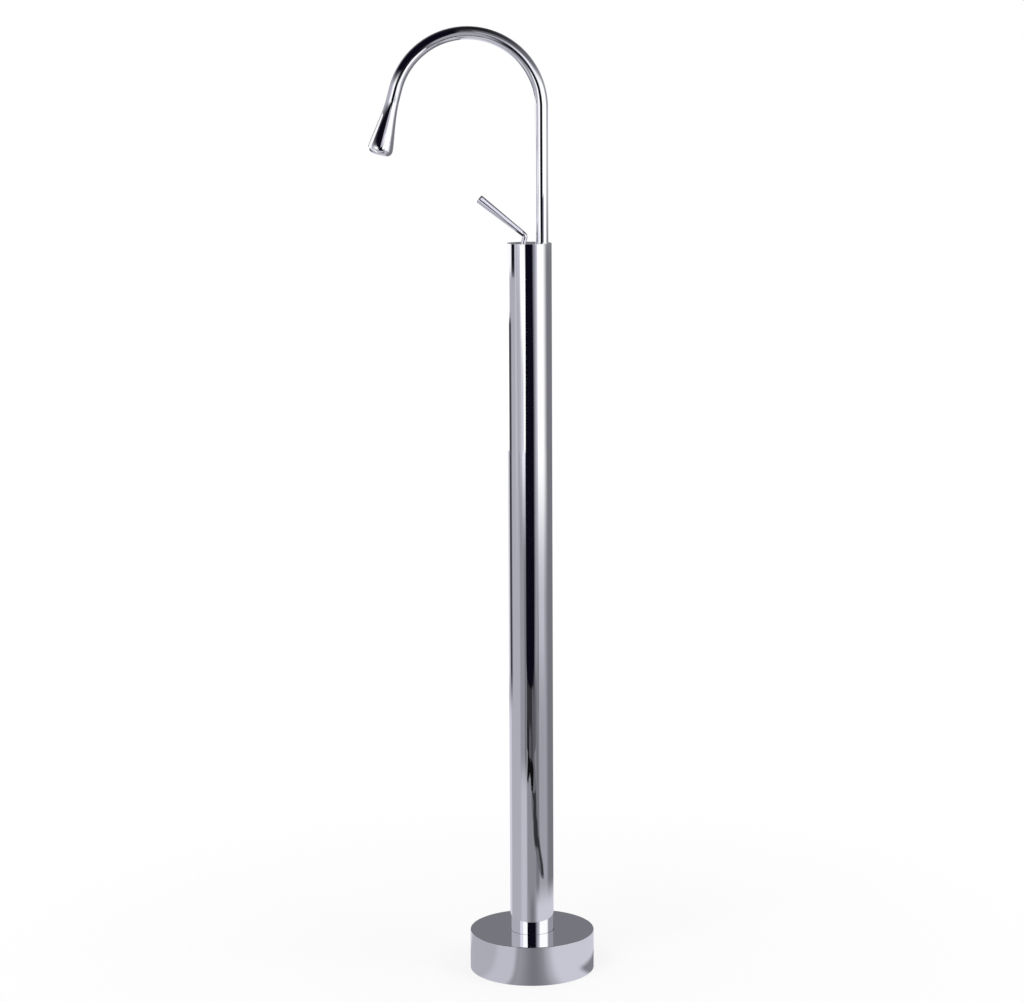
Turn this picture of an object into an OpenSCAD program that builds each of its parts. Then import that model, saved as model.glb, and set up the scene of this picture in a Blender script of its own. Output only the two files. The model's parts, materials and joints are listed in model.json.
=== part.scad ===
// Floor-standing basin mixer: a round column on a disc foot, a swan-neck spout that ends in a
// drop-shaped outlet, and a joystick lever. Millimetres, +Z up, origin on the floor at the
// column's axis, spout towards -X.

/* [Column] */
// Outside diameter of the column
column_d = 55; // [54:1:66]
// Wall of the column tube
column_wall = 1.5; // [1:0.1:2]
// Height of the column's flat top above the floor
column_top = 921; // [700:1:1100]
// Thickness of the top cap
cap_t = 5; // [4:0.5:5.5]

/* [Base] */
// Diameter of the base cover
base_d = 157; // [140:1:220]
// Height of the base cover
base_h = 50; // [46:1:80]
// Side wall of the base cover
cover_wall = 2; // [1.2:0.1:3]
// Thickness of the base cover's top
cover_top_t = 2.2; // [1.5:0.1:4]
// Thickness of the floor gasket
gasket_t = 1.5; // [1:0.1:3]
// Thickness of the floor flange
flange_t = 8; // [6:0.5:10]
// Height of the flange's spigot inside the column
spigot_h = 50; // [35:1:80]
// Diameter of the floor anchor holes
anchor_d = 9; // [6:0.5:10]

/* [Spout] */
// Outside diameter of the spout tube
spout_d = 16; // [14:0.5:17]
// Wall of the spout tube
spout_wall = 1.2; // [0.8:0.1:1.6]
// Radius of the arch to the middle of the tube
arch_r = 90; // [70:1:120]
// Turn of the arch from the riser over the top
arch_turn = 165; // [150:1:180]
// Height of the arch's centre above the column's top
riser_h = 164; // [120:1:240]
// Straight run from the arch's end to the outlet's face
limb_l = 82; // [76:1:120]
// Widest diameter of the drop
drop_d = 30.4; // [26:0.2:36]
// Length of the drop from its neck to the outlet's face
drop_l = 68; // [50:1:72]
// Height of the drop's rounded rim
rim_round = 7.5; // [5:0.5:10]
// Diameter of the aerator
aerator_d = 14.8; // [13:0.2:16]
// Swing of the spout to each side
spout_swing = 60; // [30:5:75]

/* [Lever] */
// Diameter of the lever's rod at the knee
rod_d = 6.5; // [6.2:0.1:7.2]
// Diameter of the lever's rod at the tip
tip_d = 11; // [8:0.5:14]
// Length of the lever from the knee to the tip
handle_l = 72.5; // [50:0.5:110]
// Rise of the handle above level with the water off
handle_rise = 38.6; // [34:0.2:60]
// Lean of the stub from upright with the water off
stub_lean = 14; // [10:0.5:14]
// Height of the knee above the column's top
knee_h = 9; // [8:0.5:14]
// Radius of the knee's bend to the middle of the rod
knee_r = 4.5; // [4:0.25:5]

/* [Cartridge] */
// Diameter of the cartridge
cartridge_d = 25; // [24:0.5:26]
// Diameter of the pivot ball
ball_d = 15; // [14.5:0.1:15.6]
// Depth of the ball's centre below the column's top
ball_depth = 8.2; // [8.1:0.1:8.6]
// Reach from the ball's centre to the middle of the drive tip
drive_arm = 14; // [13.5:0.1:14.5]
// Diameter of the tilt pin
tilt_pin_d = 2.5; // [2:0.1:3]

/* [Supply] */
// Outside diameter of a braided hose
hose_d = 10; // [9:0.2:10.4]
// Bore of a braided hose
hose_bore = 6; // [5:0.2:6.4]
// Width across the flats of a supply nut
supply_af = 19; // [18.5:0.5:19.5]
// Diameter of the supply nut's bore at the thread's crests
supply_bore = 15; // [14.4:0.1:15.2]
// Length of the supply nut's thread
supply_thread_l = 9; // [7:0.5:11]

/* [Hidden] */

// Facets of a round surface, and of the arch and the drop
$fn = 96;
// Gap of a seated round fit, and of a running fit
fit = 0.05;
// Gap between surfaces that move past each other
run = 0.3;
// Round a screw in its clearance hole, and round a pin pressed into its hole
screw_clear = 0.2;
press = 0.02;
// Past a face, so that a cut is clean
past = 1;

chrome = [0.80, 0.81, 0.84];
brass = [0.78, 0.62, 0.30];
steel = [0.62, 0.63, 0.65];
rubber = [0.10, 0.10, 0.11];
ceramic = [0.93, 0.92, 0.88];
nylon = [0.23, 0.24, 0.26];
acetal = [0.88, 0.88, 0.90];
braid = [0.58, 0.60, 0.63];

// Column and head
column_r = column_d / 2;
column_in_r = column_r - column_wall;
body_clear = 0.3;
body_r = column_in_r - body_clear;
rim_wall = 1.5;
rim_in_r = body_r - rim_wall;
rim_h = 5;
cap_r = column_in_r - fit;
cap_under = column_top - cap_t;
deck = cap_under - rim_h;
edge_break = 0.3;
// A straight rod starts this far inside the bend before it, and this much slimmer
bend_lap = 0.05;
bend_step = 0.05;

// Lever and cartridge: round sizes
rod_r = rod_d / 2;
tip_r = tip_d / 2;
tip_round = 2;
ball_r = ball_d / 2;
ball_seat_r = ball_r + run;
lever_hole_r = rod_r + 2.95;
cartridge_r = cartridge_d / 2;
housing_wall = 1.5;
housing_in_r = cartridge_r - housing_wall;
neck_r = cartridge_r - 0.8;
neck_in_r = neck_r - 1.2;
rotor_r = neck_in_r - run;
rotor_flange_r = housing_in_r - run;
nut_in_r = neck_r + 0.1;
nut_r = cartridge_r + 1.7;
chamber_r = cartridge_r + fit;
nut_bore_r = nut_r + fit;
chamber_wall = 2.45;
lever_x = -(body_r - nut_bore_r - chamber_wall);

// Lever and cartridge: heights
ball_z = column_top - ball_depth;
drive_ball_r = 2.2;
drive_rod_r = 1.7;
socket_r = drive_ball_r + run;
socket_floor = ball_z - drive_arm - drive_ball_r - 0.4;
carrier_floor_t = 1.1;
carrier_bottom = socket_floor - carrier_floor_t;
carrier_lip_t = 1.5;
carrier_top = socket_floor + 4.4;
moving_disc_t = 2.5;
disc_film = 0.05;
fixed_disc_t = 3;
fixed_disc_top = carrier_bottom - moving_disc_t - disc_film;
cartridge_base_top = fixed_disc_top - fixed_disc_t;
cartridge_base_t = 3.2;
cartridge_base_bottom = cartridge_base_top - cartridge_base_t;
seal_squeeze = 0.3;
chamber_floor = cartridge_base_bottom - seal_squeeze;
rotor_bottom = carrier_top + run;
rotor_flange_t = 1.8;
housing_ledge = rotor_bottom + rotor_flange_t + 0.2;
shoulder_z = housing_ledge + 1.6;
neck_top = cap_under - 0.5;
rotor_top = neck_top - run;
rotor_throat_r = 5;
tilt_pin_gap = 0.2;
nut_top = deck + 1;
nut_slot_w = 3;
nut_slot_depth = 2;

// Disc slide: the carrier stands off the axis with the water off
drive_offset = drive_arm * sin(stub_lean);
carrier_x = lever_x - drive_offset;
carrier_r = housing_in_r - drive_offset - 0.4;
carrier_half_w = carrier_r - 0.8;
rib_t = 1.5;
rib_half_l = 5;
moving_disc_r = carrier_r - 0.2;
pocket_r = moving_disc_r - 3.6;
pocket_depth = 1.3;
fixed_disc_r = housing_in_r - 0.4;
port_r = 1.5;
inlet_port_y = 3.8;
outlet_port_x = 4.6;
port_seal_r = 0.6;
port_seal_mid_r = port_r + port_seal_r + 0.15;
port_seal_pocket_r = port_seal_mid_r + port_seal_r + press;
port_seal_pocket = 2 * port_seal_r - seal_squeeze + fit;
ports = [[0, inlet_port_y], [0, -inlet_port_y], [outlet_port_x, 0]];

// Spindle and stub, measured up from the ball's centre
stub_foot = ball_r - 0.9;
spindle_pin_r = 2;
spindle_pin_l = 7;
knee_reach = (ball_depth + knee_h) / cos(stub_lean);
knee_turn = stub_lean + 90 - handle_rise;
knee_tangent = knee_r * tan(knee_turn / 2);
grub_r = 1.25;
grub_up = stub_foot + 4.4;
grub_flat_y = 1.55;
grub_flat_l = 4;
grub_hex_af = 1.3;
grub_hex_depth = 0.8;
grub_l = rod_r - grub_flat_y - 0.15;

// Spout and its socket
spout_r = spout_d / 2;
spout_in_r = spout_r - spout_wall;
socket_bore_r = spout_r + fit;
socket_wall = 2.15;
riser_x = body_r - socket_bore_r - socket_wall;
arch_x = riser_x - arch_r;
arch_z = column_top + riser_h;
socket_z = chamber_floor - 6;
fitting_bottom = socket_z + run;
fitting_top = cap_under - 1;
fitting_spigot_l = 8;
fitting_bore_r = 4.5;
spout_seal_r = 0.7;
spout_seal_mid_r = spout_r - spout_seal_r;
seal_groove_w = 2 * spout_seal_r + 0.3;
spout_seal_up = [8, 16];
plate_t = 2;
plate_groove_r = spout_r - 1.4;
plate_slot_r = plate_groove_r + run;
plate_x = riser_x - plate_slot_r - 2;
plate_r = rim_in_r - run;
stop_pin_r = 0.7;
stop_pin_seat = 3;
stop_pin_gap = 0.5;
stop_mid_r = (fitting_bore_r + spout_r) / 2;
stop_slot_h = 2.5;
stop_slot_w = 2 * (stop_pin_r + run);
stop_half_angle = spout_swing + asin((stop_pin_r + run) / stop_mid_r);

// Drop and aerator, measured back from the outlet's face
drop_swell = 0.13;
drop_taper = 0.72;
drop_steps = 24;
drop_r = drop_d / 2;
drop_bore_r = 5;
drop_spigot_l = 8;
aerator_r = aerator_d / 2;
aerator_bore_r = aerator_r + fit;
outlet_r = aerator_bore_r + 0.85;
aerator_recess = 0.6;
aerator_l = 8;
aerator_wall = 1.2;
aerator_lip_t = 0.8;
aerator_lip_w = 0.6;
aerator_gasket_t = 1.5;
aerator_seat = aerator_recess + aerator_l + aerator_gasket_t;
core_r = aerator_r - aerator_wall - fit;
core_l = 5;
core_hole_r = 0.7;
core_pitch = 1.9;
core_rows = 2;
notch_w = 2;
notch_depth = 0.9;

// Screws in the head
retaining_screw_r = 1.5;
retaining_head_r = 2.75;
retaining_head_h = 2;
retaining_screw_l = 9;
// A screw stops this short of the end of its hole
screw_end_gap = 1;
retaining_screw_x = riser_x - 2.5;
retaining_screw_y = plate_slot_r + retaining_head_r + 3.6;
retaining_screw_at = [[retaining_screw_x, retaining_screw_y], [retaining_screw_x, -retaining_screw_y]];
body_screw_r = 2;
body_head_r = 3.5;
body_head_h = 3;
body_screw_y = rim_in_r - body_head_r - 0.5;
body_screw_x = 2;
body_screw_at = [[body_screw_x, body_screw_y], [body_screw_x, -body_screw_y]];

// Water ways in the body
body_bottom = chamber_floor - 24;
body_h = deck - body_bottom;
tail_bore_depth = 11;
tail_end_gap = 1.5;
channel_r = 2.2;
plug_r = 3.5;
channel_z = socket_z - plug_r - 0.8;
channel_way_r = fitting_bore_r - 1;
inlet_turn_z = channel_z + 2.5;
plug_l = 4.5;
plug_end_gap = 0.1;
plug_hex_af = 3;
plug_hex_depth = 2.3;
plug_x = sqrt(body_r * body_r - plug_r * plug_r) - plug_l - plug_end_gap;

// Hoses
hose_r = hose_d / 2;
hose_bore_r = hose_bore / 2;
hose_y = supply_af / 2 + 0.7;
tail_thread_r = 4.95;
tail_bore_r = tail_thread_r + fit;
tail_neck_r = 4.1;
tail_seal_r = 0.7;
tail_seal_h = 1.6;
tail_seal_bore_r = tail_bore_r + 0.6;
tail_hex_af = 11;
tail_hex_h = 6;
tail_way_r = 2;
barb_r = hose_bore_r - fit;
ferrule_wall = 1.15;
ferrule_in_r = hose_r + fit;
ferrule_r = ferrule_in_r + ferrule_wall;
ferrule_l = 17;
support_plate_t = 8;
support_hole_r = 6.7;
tail_bottom = body_bottom - tail_hex_h;

// Supply ends
supply_bore_r = supply_bore / 2;
supply_nut_bottom = 6;
supply_relief_r = supply_bore_r + 0.4;
supply_washer_t = 2;
supply_washer_in_r = tail_way_r + 1.5;
supply_collar_t = 2.4;
supply_collar_r = supply_bore_r - run;
supply_thread_top = supply_nut_bottom + supply_thread_l;
supply_collar_top = supply_thread_top + supply_washer_t + supply_collar_t;
supply_nut_roof = supply_collar_top + 0.1;
supply_roof_t = 4;
supply_sleeve_r = 6.2;
supply_neck_r = supply_sleeve_r + run;
supply_sleeve_top = supply_nut_roof + supply_roof_t + 0.4;

// Foot
base_r = base_d / 2;
flange_top = gasket_t + flange_t;
flange_r = base_r - cover_wall - 11.5;
spigot_clear = 0.15;
spigot_r = column_in_r - spigot_clear;
spigot_wall = 3.85;
spigot_in_r = spigot_r - spigot_wall;
gasket_r = flange_r - 1;
gasket_hole_r = spigot_in_r + 1;
anchor_r = anchor_d / 2;
anchor_circle_r = flange_r - 13;
anchor_count = 4;
anchor_first = 45;
foot_screw_r = 2.5;
foot_head_r = 4.5;
foot_head_h = 2.7;
foot_screw_z = flange_top + 20;
foot_screw_angles = [90, 210, 330];

// Base cover
cover_hole_r = column_r + 0.4;
cover_collar_r = cover_hole_r + 4.2;
cover_collar_h = 6;
cover_seal_r = 1.1;
cover_seal_gap = 0.08;
cover_seal_mid_r = column_r + cover_seal_gap + cover_seal_r;
cover_seal_z = base_h - cover_top_t - cover_collar_h / 2;
cover_edge = 0.6;

function polar(r, a) = [r * cos(a), r * sin(a)];
function bezier(p, q, s, t, u) =
    p * pow(1 - u, 3) + q * 3 * u * pow(1 - u, 2) + s * 3 * u * u * (1 - u) + t * pow(u, 3);

module ring(r, hole_r, h) {
    difference() {
        cylinder(r = r, h = h);
        translate([0, 0, -past]) cylinder(r = hole_r, h = h + 2 * past);
    }
}

module o_ring(mid_r, section_r) {
    rotate_extrude() translate([mid_r, 0]) circle(r = section_r, $fn = 32);
}

module hex_bar(across_flats, h) {
    cylinder(r = across_flats / sqrt(3), h = h, $fn = 6);
}

// Round way from point a to point b
module way(a, b, r) {
    span = b - a;
    level = norm([span[0], span[1]]);
    translate(a)
        rotate([0, atan2(level, span[2]), atan2(span[1], span[0])])
            cylinder(r = r, h = norm(span));
}

// Cap screw with its head's seat at the origin and its shank pointing down
module cap_screw(r, l, head_r, head_h) {
    key_af = 1.5 * r;
    key_floor = 0.4 * head_h;
    difference() {
        union() {
            cylinder(r = head_r, h = head_h);
            translate([0, 0, -l]) cylinder(r = r, h = l + head_h / 2);
        }
        translate([0, 0, key_floor]) hex_bar(key_af, head_h);
    }
}

module at_points(points) {
    for (p = points) translate([p[0], p[1], 0]) children();
}

module at_hoses() {
    for (side = [-1, 1]) translate([0, side * hose_y, 0]) children();
}

module at_anchors() {
    for (i = [0 : anchor_count - 1]) {
        rotate(anchor_first + i * 360 / anchor_count) translate([anchor_circle_r, 0, 0]) children();
    }
}

// Frame at the arch's end: +Z runs along the tube towards the outlet
module at_arch_end() {
    translate([arch_x, 0, arch_z]) rotate([0, -arch_turn, 0]) translate([arch_r, 0, 0]) children();
}

// Frame at the outlet's face: +Z runs back up the tube
module at_outlet() {
    at_arch_end() translate([0, 0, limb_l]) rotate([0, 180, 0]) children();
}

// Frame at the pivot ball: +Z runs along the stub
module at_ball() {
    translate([lever_x, 0, ball_z]) rotate([0, stub_lean, 0]) children();
}

module floor_gasket() {
    color(rubber) difference() {
        ring(gasket_r, gasket_hole_r, gasket_t);
        at_anchors() translate([0, 0, -past]) cylinder(r = anchor_r, h = gasket_t + 2 * past);
    }
}

module floor_flange() {
    color(steel) difference() {
        union() {
            translate([0, 0, gasket_t]) cylinder(r = flange_r, h = flange_t);
            translate([0, 0, flange_top - past]) cylinder(r = spigot_r, h = spigot_h + past);
        }
        cylinder(r = spigot_in_r, h = flange_top + spigot_h + past);
        at_anchors() cylinder(r = anchor_r, h = flange_top + past);
        at_foot_screws() translate([0, 0, -foot_depth() - past])
            cylinder(r = foot_screw_r + fit, h = foot_depth() + past);
    }
}

// Depth from the column's outside to the spigot's bore
function foot_depth() = column_wall + spigot_clear + spigot_wall;

// Frame on the column's outside: +Z points out of the column
module at_foot_screws() {
    for (a = foot_screw_angles) {
        rotate(a) translate([column_r + fit, 0, foot_screw_z]) rotate([0, 90, 0]) children();
    }
}

module column_tube() {
    color(chrome) difference() {
        rotate_extrude() polygon([
            [column_in_r, flange_top],
            [column_r, flange_top],
            [column_r, column_top - edge_break],
            [column_r - edge_break, column_top],
            [column_in_r, column_top]]);
        at_foot_screws() translate([0, 0, -column_wall - past])
            cylinder(r = foot_screw_r + screw_clear, h = column_wall + 2 * past);
    }
}

module foot_screws() {
    color(steel) at_foot_screws()
        cap_screw(foot_screw_r, foot_depth() - fit, foot_head_r, foot_head_h);
}

module column_support_plate() {
    color(steel) translate([0, 0, body_bottom - support_plate_t]) difference() {
        cylinder(r = column_in_r - fit, h = support_plate_t);
        at_hoses() translate([0, 0, -past])
            cylinder(r = support_hole_r, h = support_plate_t + 2 * past);
        at_points(body_screw_at) translate([0, 0, -past])
            cylinder(r = body_screw_r + fit, h = support_plate_t + 2 * past);
    }
}

module mixer_body() {
    color(brass) difference() {
        translate([0, 0, body_bottom]) cylinder(r = body_r, h = body_h + rim_h);
        translate([0, 0, deck]) cylinder(r = rim_in_r, h = rim_h + past);
        // Cartridge chamber, with the nut's thread above it
        translate([lever_x, 0, chamber_floor]) cylinder(r = chamber_r, h = deck - chamber_floor);
        translate([lever_x, 0, shoulder_z])
            cylinder(r = nut_bore_r, h = deck - shoulder_z + past);
        // Spout socket, with the stop pin's hole in its floor
        translate([riser_x, 0, socket_z]) cylinder(r = socket_bore_r, h = deck - socket_z + past);
        translate([riser_x, stop_mid_r, socket_z - stop_pin_seat])
            cylinder(r = stop_pin_r + press, h = stop_pin_seat + past);
        // Outlet channel, drilled in from the side and plugged
        translate([lever_x + outlet_port_x, 0, channel_z])
            cylinder(r = port_r, h = chamber_floor - channel_z + past);
        translate([lever_x + outlet_port_x, 0, channel_z]) rotate([0, 90, 0])
            cylinder(r = channel_r, h = plug_x - lever_x - outlet_port_x + past);
        translate([plug_x, 0, channel_z]) rotate([0, 90, 0])
            cylinder(r = plug_r + fit, h = body_r);
        translate([riser_x, 0, channel_z]) cylinder(r = channel_way_r, h = socket_z - channel_z + past);
        // Hose threads and inlet ways
        at_hoses() translate([0, 0, body_bottom - past])
            cylinder(r = tail_bore_r, h = tail_bore_depth + past);
        at_hoses() translate([0, 0, body_bottom - past])
            cylinder(r = tail_seal_bore_r, h = tail_seal_h + past);
        for (side = [-1, 1]) {
            translate([lever_x, side * inlet_port_y, inlet_turn_z - port_r / 2])
                cylinder(r = port_r, h = chamber_floor - inlet_turn_z + past);
            way([lever_x, side * inlet_port_y, inlet_turn_z],
                [0, side * hose_y, body_bottom + tail_bore_depth - past], port_r);
        }
        // Screws
        at_points(retaining_screw_at) translate([0, 0, deck - retaining_screw_l])
            cylinder(r = retaining_screw_r + fit, h = retaining_screw_l + past);
        at_points(body_screw_at) translate([0, 0, body_bottom - past])
            cylinder(r = body_screw_r + screw_clear, h = body_h + 2 * past);
    }
}

module body_screws() {
    color(steel) at_points(body_screw_at) translate([0, 0, deck])
        cap_screw(body_screw_r, body_h + support_plate_t - screw_end_gap, body_head_r, body_head_h);
}

module channel_plug() {
    color(brass) translate([plug_x + plug_end_gap, 0, channel_z]) rotate([0, 90, 0]) difference() {
        cylinder(r = plug_r, h = plug_l - plug_end_gap);
        translate([0, 0, plug_l - plug_hex_depth]) hex_bar(plug_hex_af, plug_hex_depth);
    }
}

module hose_tails() {
    color(brass) at_hoses() difference() {
        union() {
            translate([0, 0, body_bottom + tail_seal_h])
                cylinder(r = tail_thread_r, h = tail_bore_depth - tail_seal_h - tail_end_gap);
            translate([0, 0, body_bottom - past]) cylinder(r = tail_neck_r, h = tail_seal_h + 2 * past);
            translate([0, 0, tail_bottom]) hex_bar(tail_hex_af, tail_hex_h);
            translate([0, 0, tail_bottom - ferrule_l]) cylinder(r = barb_r, h = ferrule_l + past);
        }
        translate([0, 0, tail_bottom - ferrule_l - past])
            cylinder(r = tail_way_r, h = ferrule_l + tail_hex_h + tail_bore_depth + 2 * past);
    }
}

module tail_o_rings() {
    color(rubber) at_hoses() translate([0, 0, body_bottom + tail_seal_r + fit])
        o_ring(tail_neck_r + tail_seal_r + fit, tail_seal_r);
}

module braided_hose(side) {
    color(braid) translate([0, side * hose_y, supply_sleeve_top])
        ring(hose_r, hose_bore_r, tail_bottom - supply_sleeve_top);
}

module hot_hose() {
    braided_hose(1);
}

module cold_hose() {
    braided_hose(-1);
}

module hose_ferrules() {
    color(steel) at_hoses() for (z = [supply_sleeve_top, tail_bottom - ferrule_l]) {
        translate([0, 0, z]) ring(ferrule_r, ferrule_in_r, ferrule_l);
    }
}

module supply_tails() {
    color(brass) at_hoses() difference() {
        union() {
            translate([0, 0, supply_collar_top - supply_collar_t])
                cylinder(r = supply_collar_r, h = supply_collar_t);
            translate([0, 0, supply_collar_top - past])
                cylinder(r = supply_sleeve_r, h = supply_sleeve_top - supply_collar_top + past);
            translate([0, 0, supply_sleeve_top - past]) cylinder(r = barb_r, h = ferrule_l + past);
        }
        translate([0, 0, supply_thread_top])
            cylinder(r = tail_way_r, h = supply_sleeve_top + ferrule_l + past - supply_thread_top);
    }
}

module supply_nuts() {
    nut_h = supply_nut_roof + supply_roof_t - supply_nut_bottom;
    color(brass) at_hoses() translate([0, 0, supply_nut_bottom]) difference() {
        hex_bar(supply_af, nut_h);
        translate([0, 0, -past]) cylinder(r = supply_bore_r, h = supply_thread_l + 2 * past);
        translate([0, 0, supply_thread_l])
            cylinder(r = supply_relief_r, h = supply_nut_roof - supply_thread_top);
        cylinder(r = supply_neck_r, h = nut_h + past);
    }
}

module supply_washers() {
    color(rubber) at_hoses() translate([0, 0, supply_thread_top])
        ring(supply_collar_r, supply_washer_in_r, supply_washer_t);
}

module cartridge_base() {
    color(nylon) translate([lever_x, 0, cartridge_base_bottom]) difference() {
        cylinder(r = cartridge_r, h = cartridge_base_t);
        at_points(ports) translate([0, 0, -past]) cylinder(r = port_r, h = cartridge_base_t + 2 * past);
        at_points(ports) translate([0, 0, -past])
            cylinder(r = port_seal_pocket_r, h = port_seal_pocket + past);
    }
}

module cartridge_seals() {
    color(rubber) translate([lever_x, 0, chamber_floor + port_seal_r]) at_points(ports)
        o_ring(port_seal_mid_r, port_seal_r);
}

module fixed_disc() {
    color(ceramic) translate([lever_x, 0, cartridge_base_top]) difference() {
        cylinder(r = fixed_disc_r, h = fixed_disc_t);
        at_points(ports) translate([0, 0, -past]) cylinder(r = port_r, h = fixed_disc_t + 2 * past);
    }
}

module cartridge_housing() {
    color(nylon) translate([lever_x, 0, 0]) rotate_extrude() polygon([
        [housing_in_r, cartridge_base_top],
        [cartridge_r, cartridge_base_top],
        [cartridge_r, shoulder_z],
        [neck_r, shoulder_z],
        [neck_r, neck_top],
        [neck_in_r, neck_top],
        [neck_in_r, housing_ledge],
        [housing_in_r, housing_ledge]]);
}

module cartridge_nut() {
    color(brass) translate([lever_x, 0, shoulder_z]) difference() {
        ring(nut_r, nut_in_r, nut_top - shoulder_z);
        for (a = [0, 90]) rotate(a)
            translate([-nut_r - past, -nut_slot_w / 2, nut_top - shoulder_z - nut_slot_depth])
                cube([2 * (nut_r + past), nut_slot_w, nut_slot_depth + past]);
    }
}

module top_cap() {
    color(chrome) difference() {
        rotate_extrude() polygon([
            [0, cap_under],
            [cap_r, cap_under],
            [cap_r, column_top - edge_break],
            [cap_r - edge_break, column_top],
            [0, column_top]]);
        translate([riser_x, 0, cap_under - past]) cylinder(r = spout_r + run, h = cap_t + 2 * past);
        translate([lever_x, 0, cap_under - past]) cylinder(r = lever_hole_r, h = cap_t + 2 * past);
        translate([lever_x, 0, ball_z]) sphere(r = ball_seat_r);
        translate([0, 0, cap_under + cap_t / 2 - seal_groove_w / 2])
            ring(cap_r + past, cap_r - 2 * spout_seal_r - fit, seal_groove_w);
    }
}

module cap_o_ring() {
    color(rubber) translate([0, 0, cap_under + cap_t / 2]) o_ring(cap_r - spout_seal_r, spout_seal_r);
}

module spout_retaining_plate() {
    color(brass) translate([0, 0, deck]) difference() {
        intersection() {
            cylinder(r = plate_r, h = plate_t);
            translate([plate_x, -plate_r, 0]) cube([2 * plate_r, 2 * plate_r, plate_t]);
        }
        translate([riser_x, 0, -past]) cylinder(r = plate_slot_r, h = plate_t + 2 * past);
        translate([riser_x, -plate_slot_r, -past])
            cube([plate_r, 2 * plate_slot_r, plate_t + 2 * past]);
        at_points(retaining_screw_at) translate([0, 0, -past])
            cylinder(r = retaining_screw_r + screw_clear, h = plate_t + 2 * past);
    }
}

module retaining_screws() {
    color(steel) at_points(retaining_screw_at) translate([0, 0, deck + plate_t])
        cap_screw(retaining_screw_r, retaining_screw_l + plate_t - screw_end_gap,
            retaining_head_r, retaining_head_h);
}

module swivel_stop_pin() {
    color(steel) translate([riser_x, stop_mid_r, socket_z - stop_pin_seat])
        cylinder(r = stop_pin_r, h = stop_pin_seat + run + stop_slot_h - stop_pin_gap);
}

module cartridge_rotor() {
    color(acetal) translate([lever_x, 0, 0]) difference() {
        union() {
            translate([0, 0, rotor_bottom]) cylinder(r = rotor_r, h = rotor_top - rotor_bottom);
            translate([0, 0, rotor_bottom]) cylinder(r = rotor_flange_r, h = rotor_flange_t);
            for (side = [-1, 1]) {
                translate([-rib_half_l, side * (carrier_half_w + run + rib_t / 2) - rib_t / 2,
                    carrier_bottom + carrier_lip_t + run])
                    cube([2 * rib_half_l, rib_t, rotor_bottom - carrier_bottom - carrier_lip_t]);
            }
        }
        translate([0, 0, ball_z]) sphere(r = ball_seat_r);
        translate([0, 0, ball_z]) cylinder(r = ball_seat_r, h = rotor_top - ball_z + past);
        translate([0, 0, rotor_bottom - past]) cylinder(r = rotor_throat_r, h = ball_z - rotor_bottom);
        translate([0, -rotor_r - past, ball_z]) rotate([-90, 0, 0])
            cylinder(r = tilt_pin_d / 2 + press, h = 2 * (rotor_r + past));
    }
}

module tilt_pin() {
    color(steel) translate([lever_x, -rotor_r + tilt_pin_gap, ball_z]) rotate([-90, 0, 0])
        cylinder(r = tilt_pin_d / 2, h = 2 * (rotor_r - tilt_pin_gap));
}

module cartridge_spindle() {
    color(chrome) at_ball() difference() {
        union() {
            difference() {
                sphere(r = ball_r);
                translate([0, 0, stub_foot]) cylinder(r = ball_r, h = ball_r);
            }
            cylinder(r = spindle_pin_r, h = stub_foot + spindle_pin_l);
            translate([0, 0, -drive_arm]) cylinder(r = drive_rod_r, h = drive_arm);
            translate([0, 0, -drive_arm]) sphere(r = drive_ball_r);
        }
        translate([0, -ball_r - past, 0]) rotate([-90, 0, 0])
            cylinder(r = tilt_pin_d / 2 + fit, h = 2 * (ball_r + past));
        translate([-spindle_pin_r, grub_flat_y, grub_up - grub_flat_l / 2])
            cube([2 * spindle_pin_r, spindle_pin_r, grub_flat_l]);
    }
}

// Lathe profile of the handle from the knee's end to its rounded tip
module handle_profile(l) {
    round_at = [tip_r - tip_round, l - tip_round];
    polygon(concat(
        [[0, -bend_lap], [rod_r - bend_step, -bend_lap], [rod_r - bend_step, bend_lap]],
        [for (a = [0 : 15 : 90]) round_at + polar(tip_round, a)],
        [[0, l]]));
}

module lever_handle() {
    bend_at = knee_reach - knee_tangent;
    color(chrome) at_ball() difference() {
        union() {
            translate([0, 0, stub_foot])
                cylinder(r = rod_r - bend_step, h = bend_at - stub_foot + bend_lap);
            translate([-knee_r, 0, bend_at]) rotate([90, 0, 0])
                rotate_extrude(angle = knee_turn) translate([knee_r, 0]) circle(r = rod_r);
            translate([-knee_r, 0, bend_at]) rotate([0, -knee_turn, 0]) translate([knee_r, 0, 0])
                rotate_extrude() handle_profile(handle_l - knee_tangent);
        }
        translate([0, 0, stub_foot - past])
            cylinder(r = spindle_pin_r + fit, h = spindle_pin_l + past + run);
        translate([0, 0, grub_up]) rotate([-90, 0, 0]) cylinder(r = grub_r + fit, h = rod_r + past);
    }
}

module lever_grub_screw() {
    color(steel) at_ball() translate([0, grub_flat_y + fit, grub_up]) rotate([-90, 0, 0]) difference() {
        cylinder(r = grub_r, h = grub_l);
        translate([0, 0, grub_l - grub_hex_depth]) hex_bar(grub_hex_af, grub_hex_depth + past);
    }
}

module disc_carrier() {
    color(acetal) translate([carrier_x, 0, carrier_bottom]) difference() {
        union() {
            cylinder(r = carrier_r, h = carrier_lip_t);
            intersection() {
                cylinder(r = carrier_r, h = carrier_top - carrier_bottom);
                translate([-carrier_r, -carrier_half_w, 0])
                    cube([2 * carrier_r, 2 * carrier_half_w, carrier_top - carrier_bottom]);
            }
        }
        translate([0, 0, carrier_floor_t]) cylinder(r = socket_r, h = carrier_top);
    }
}

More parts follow.
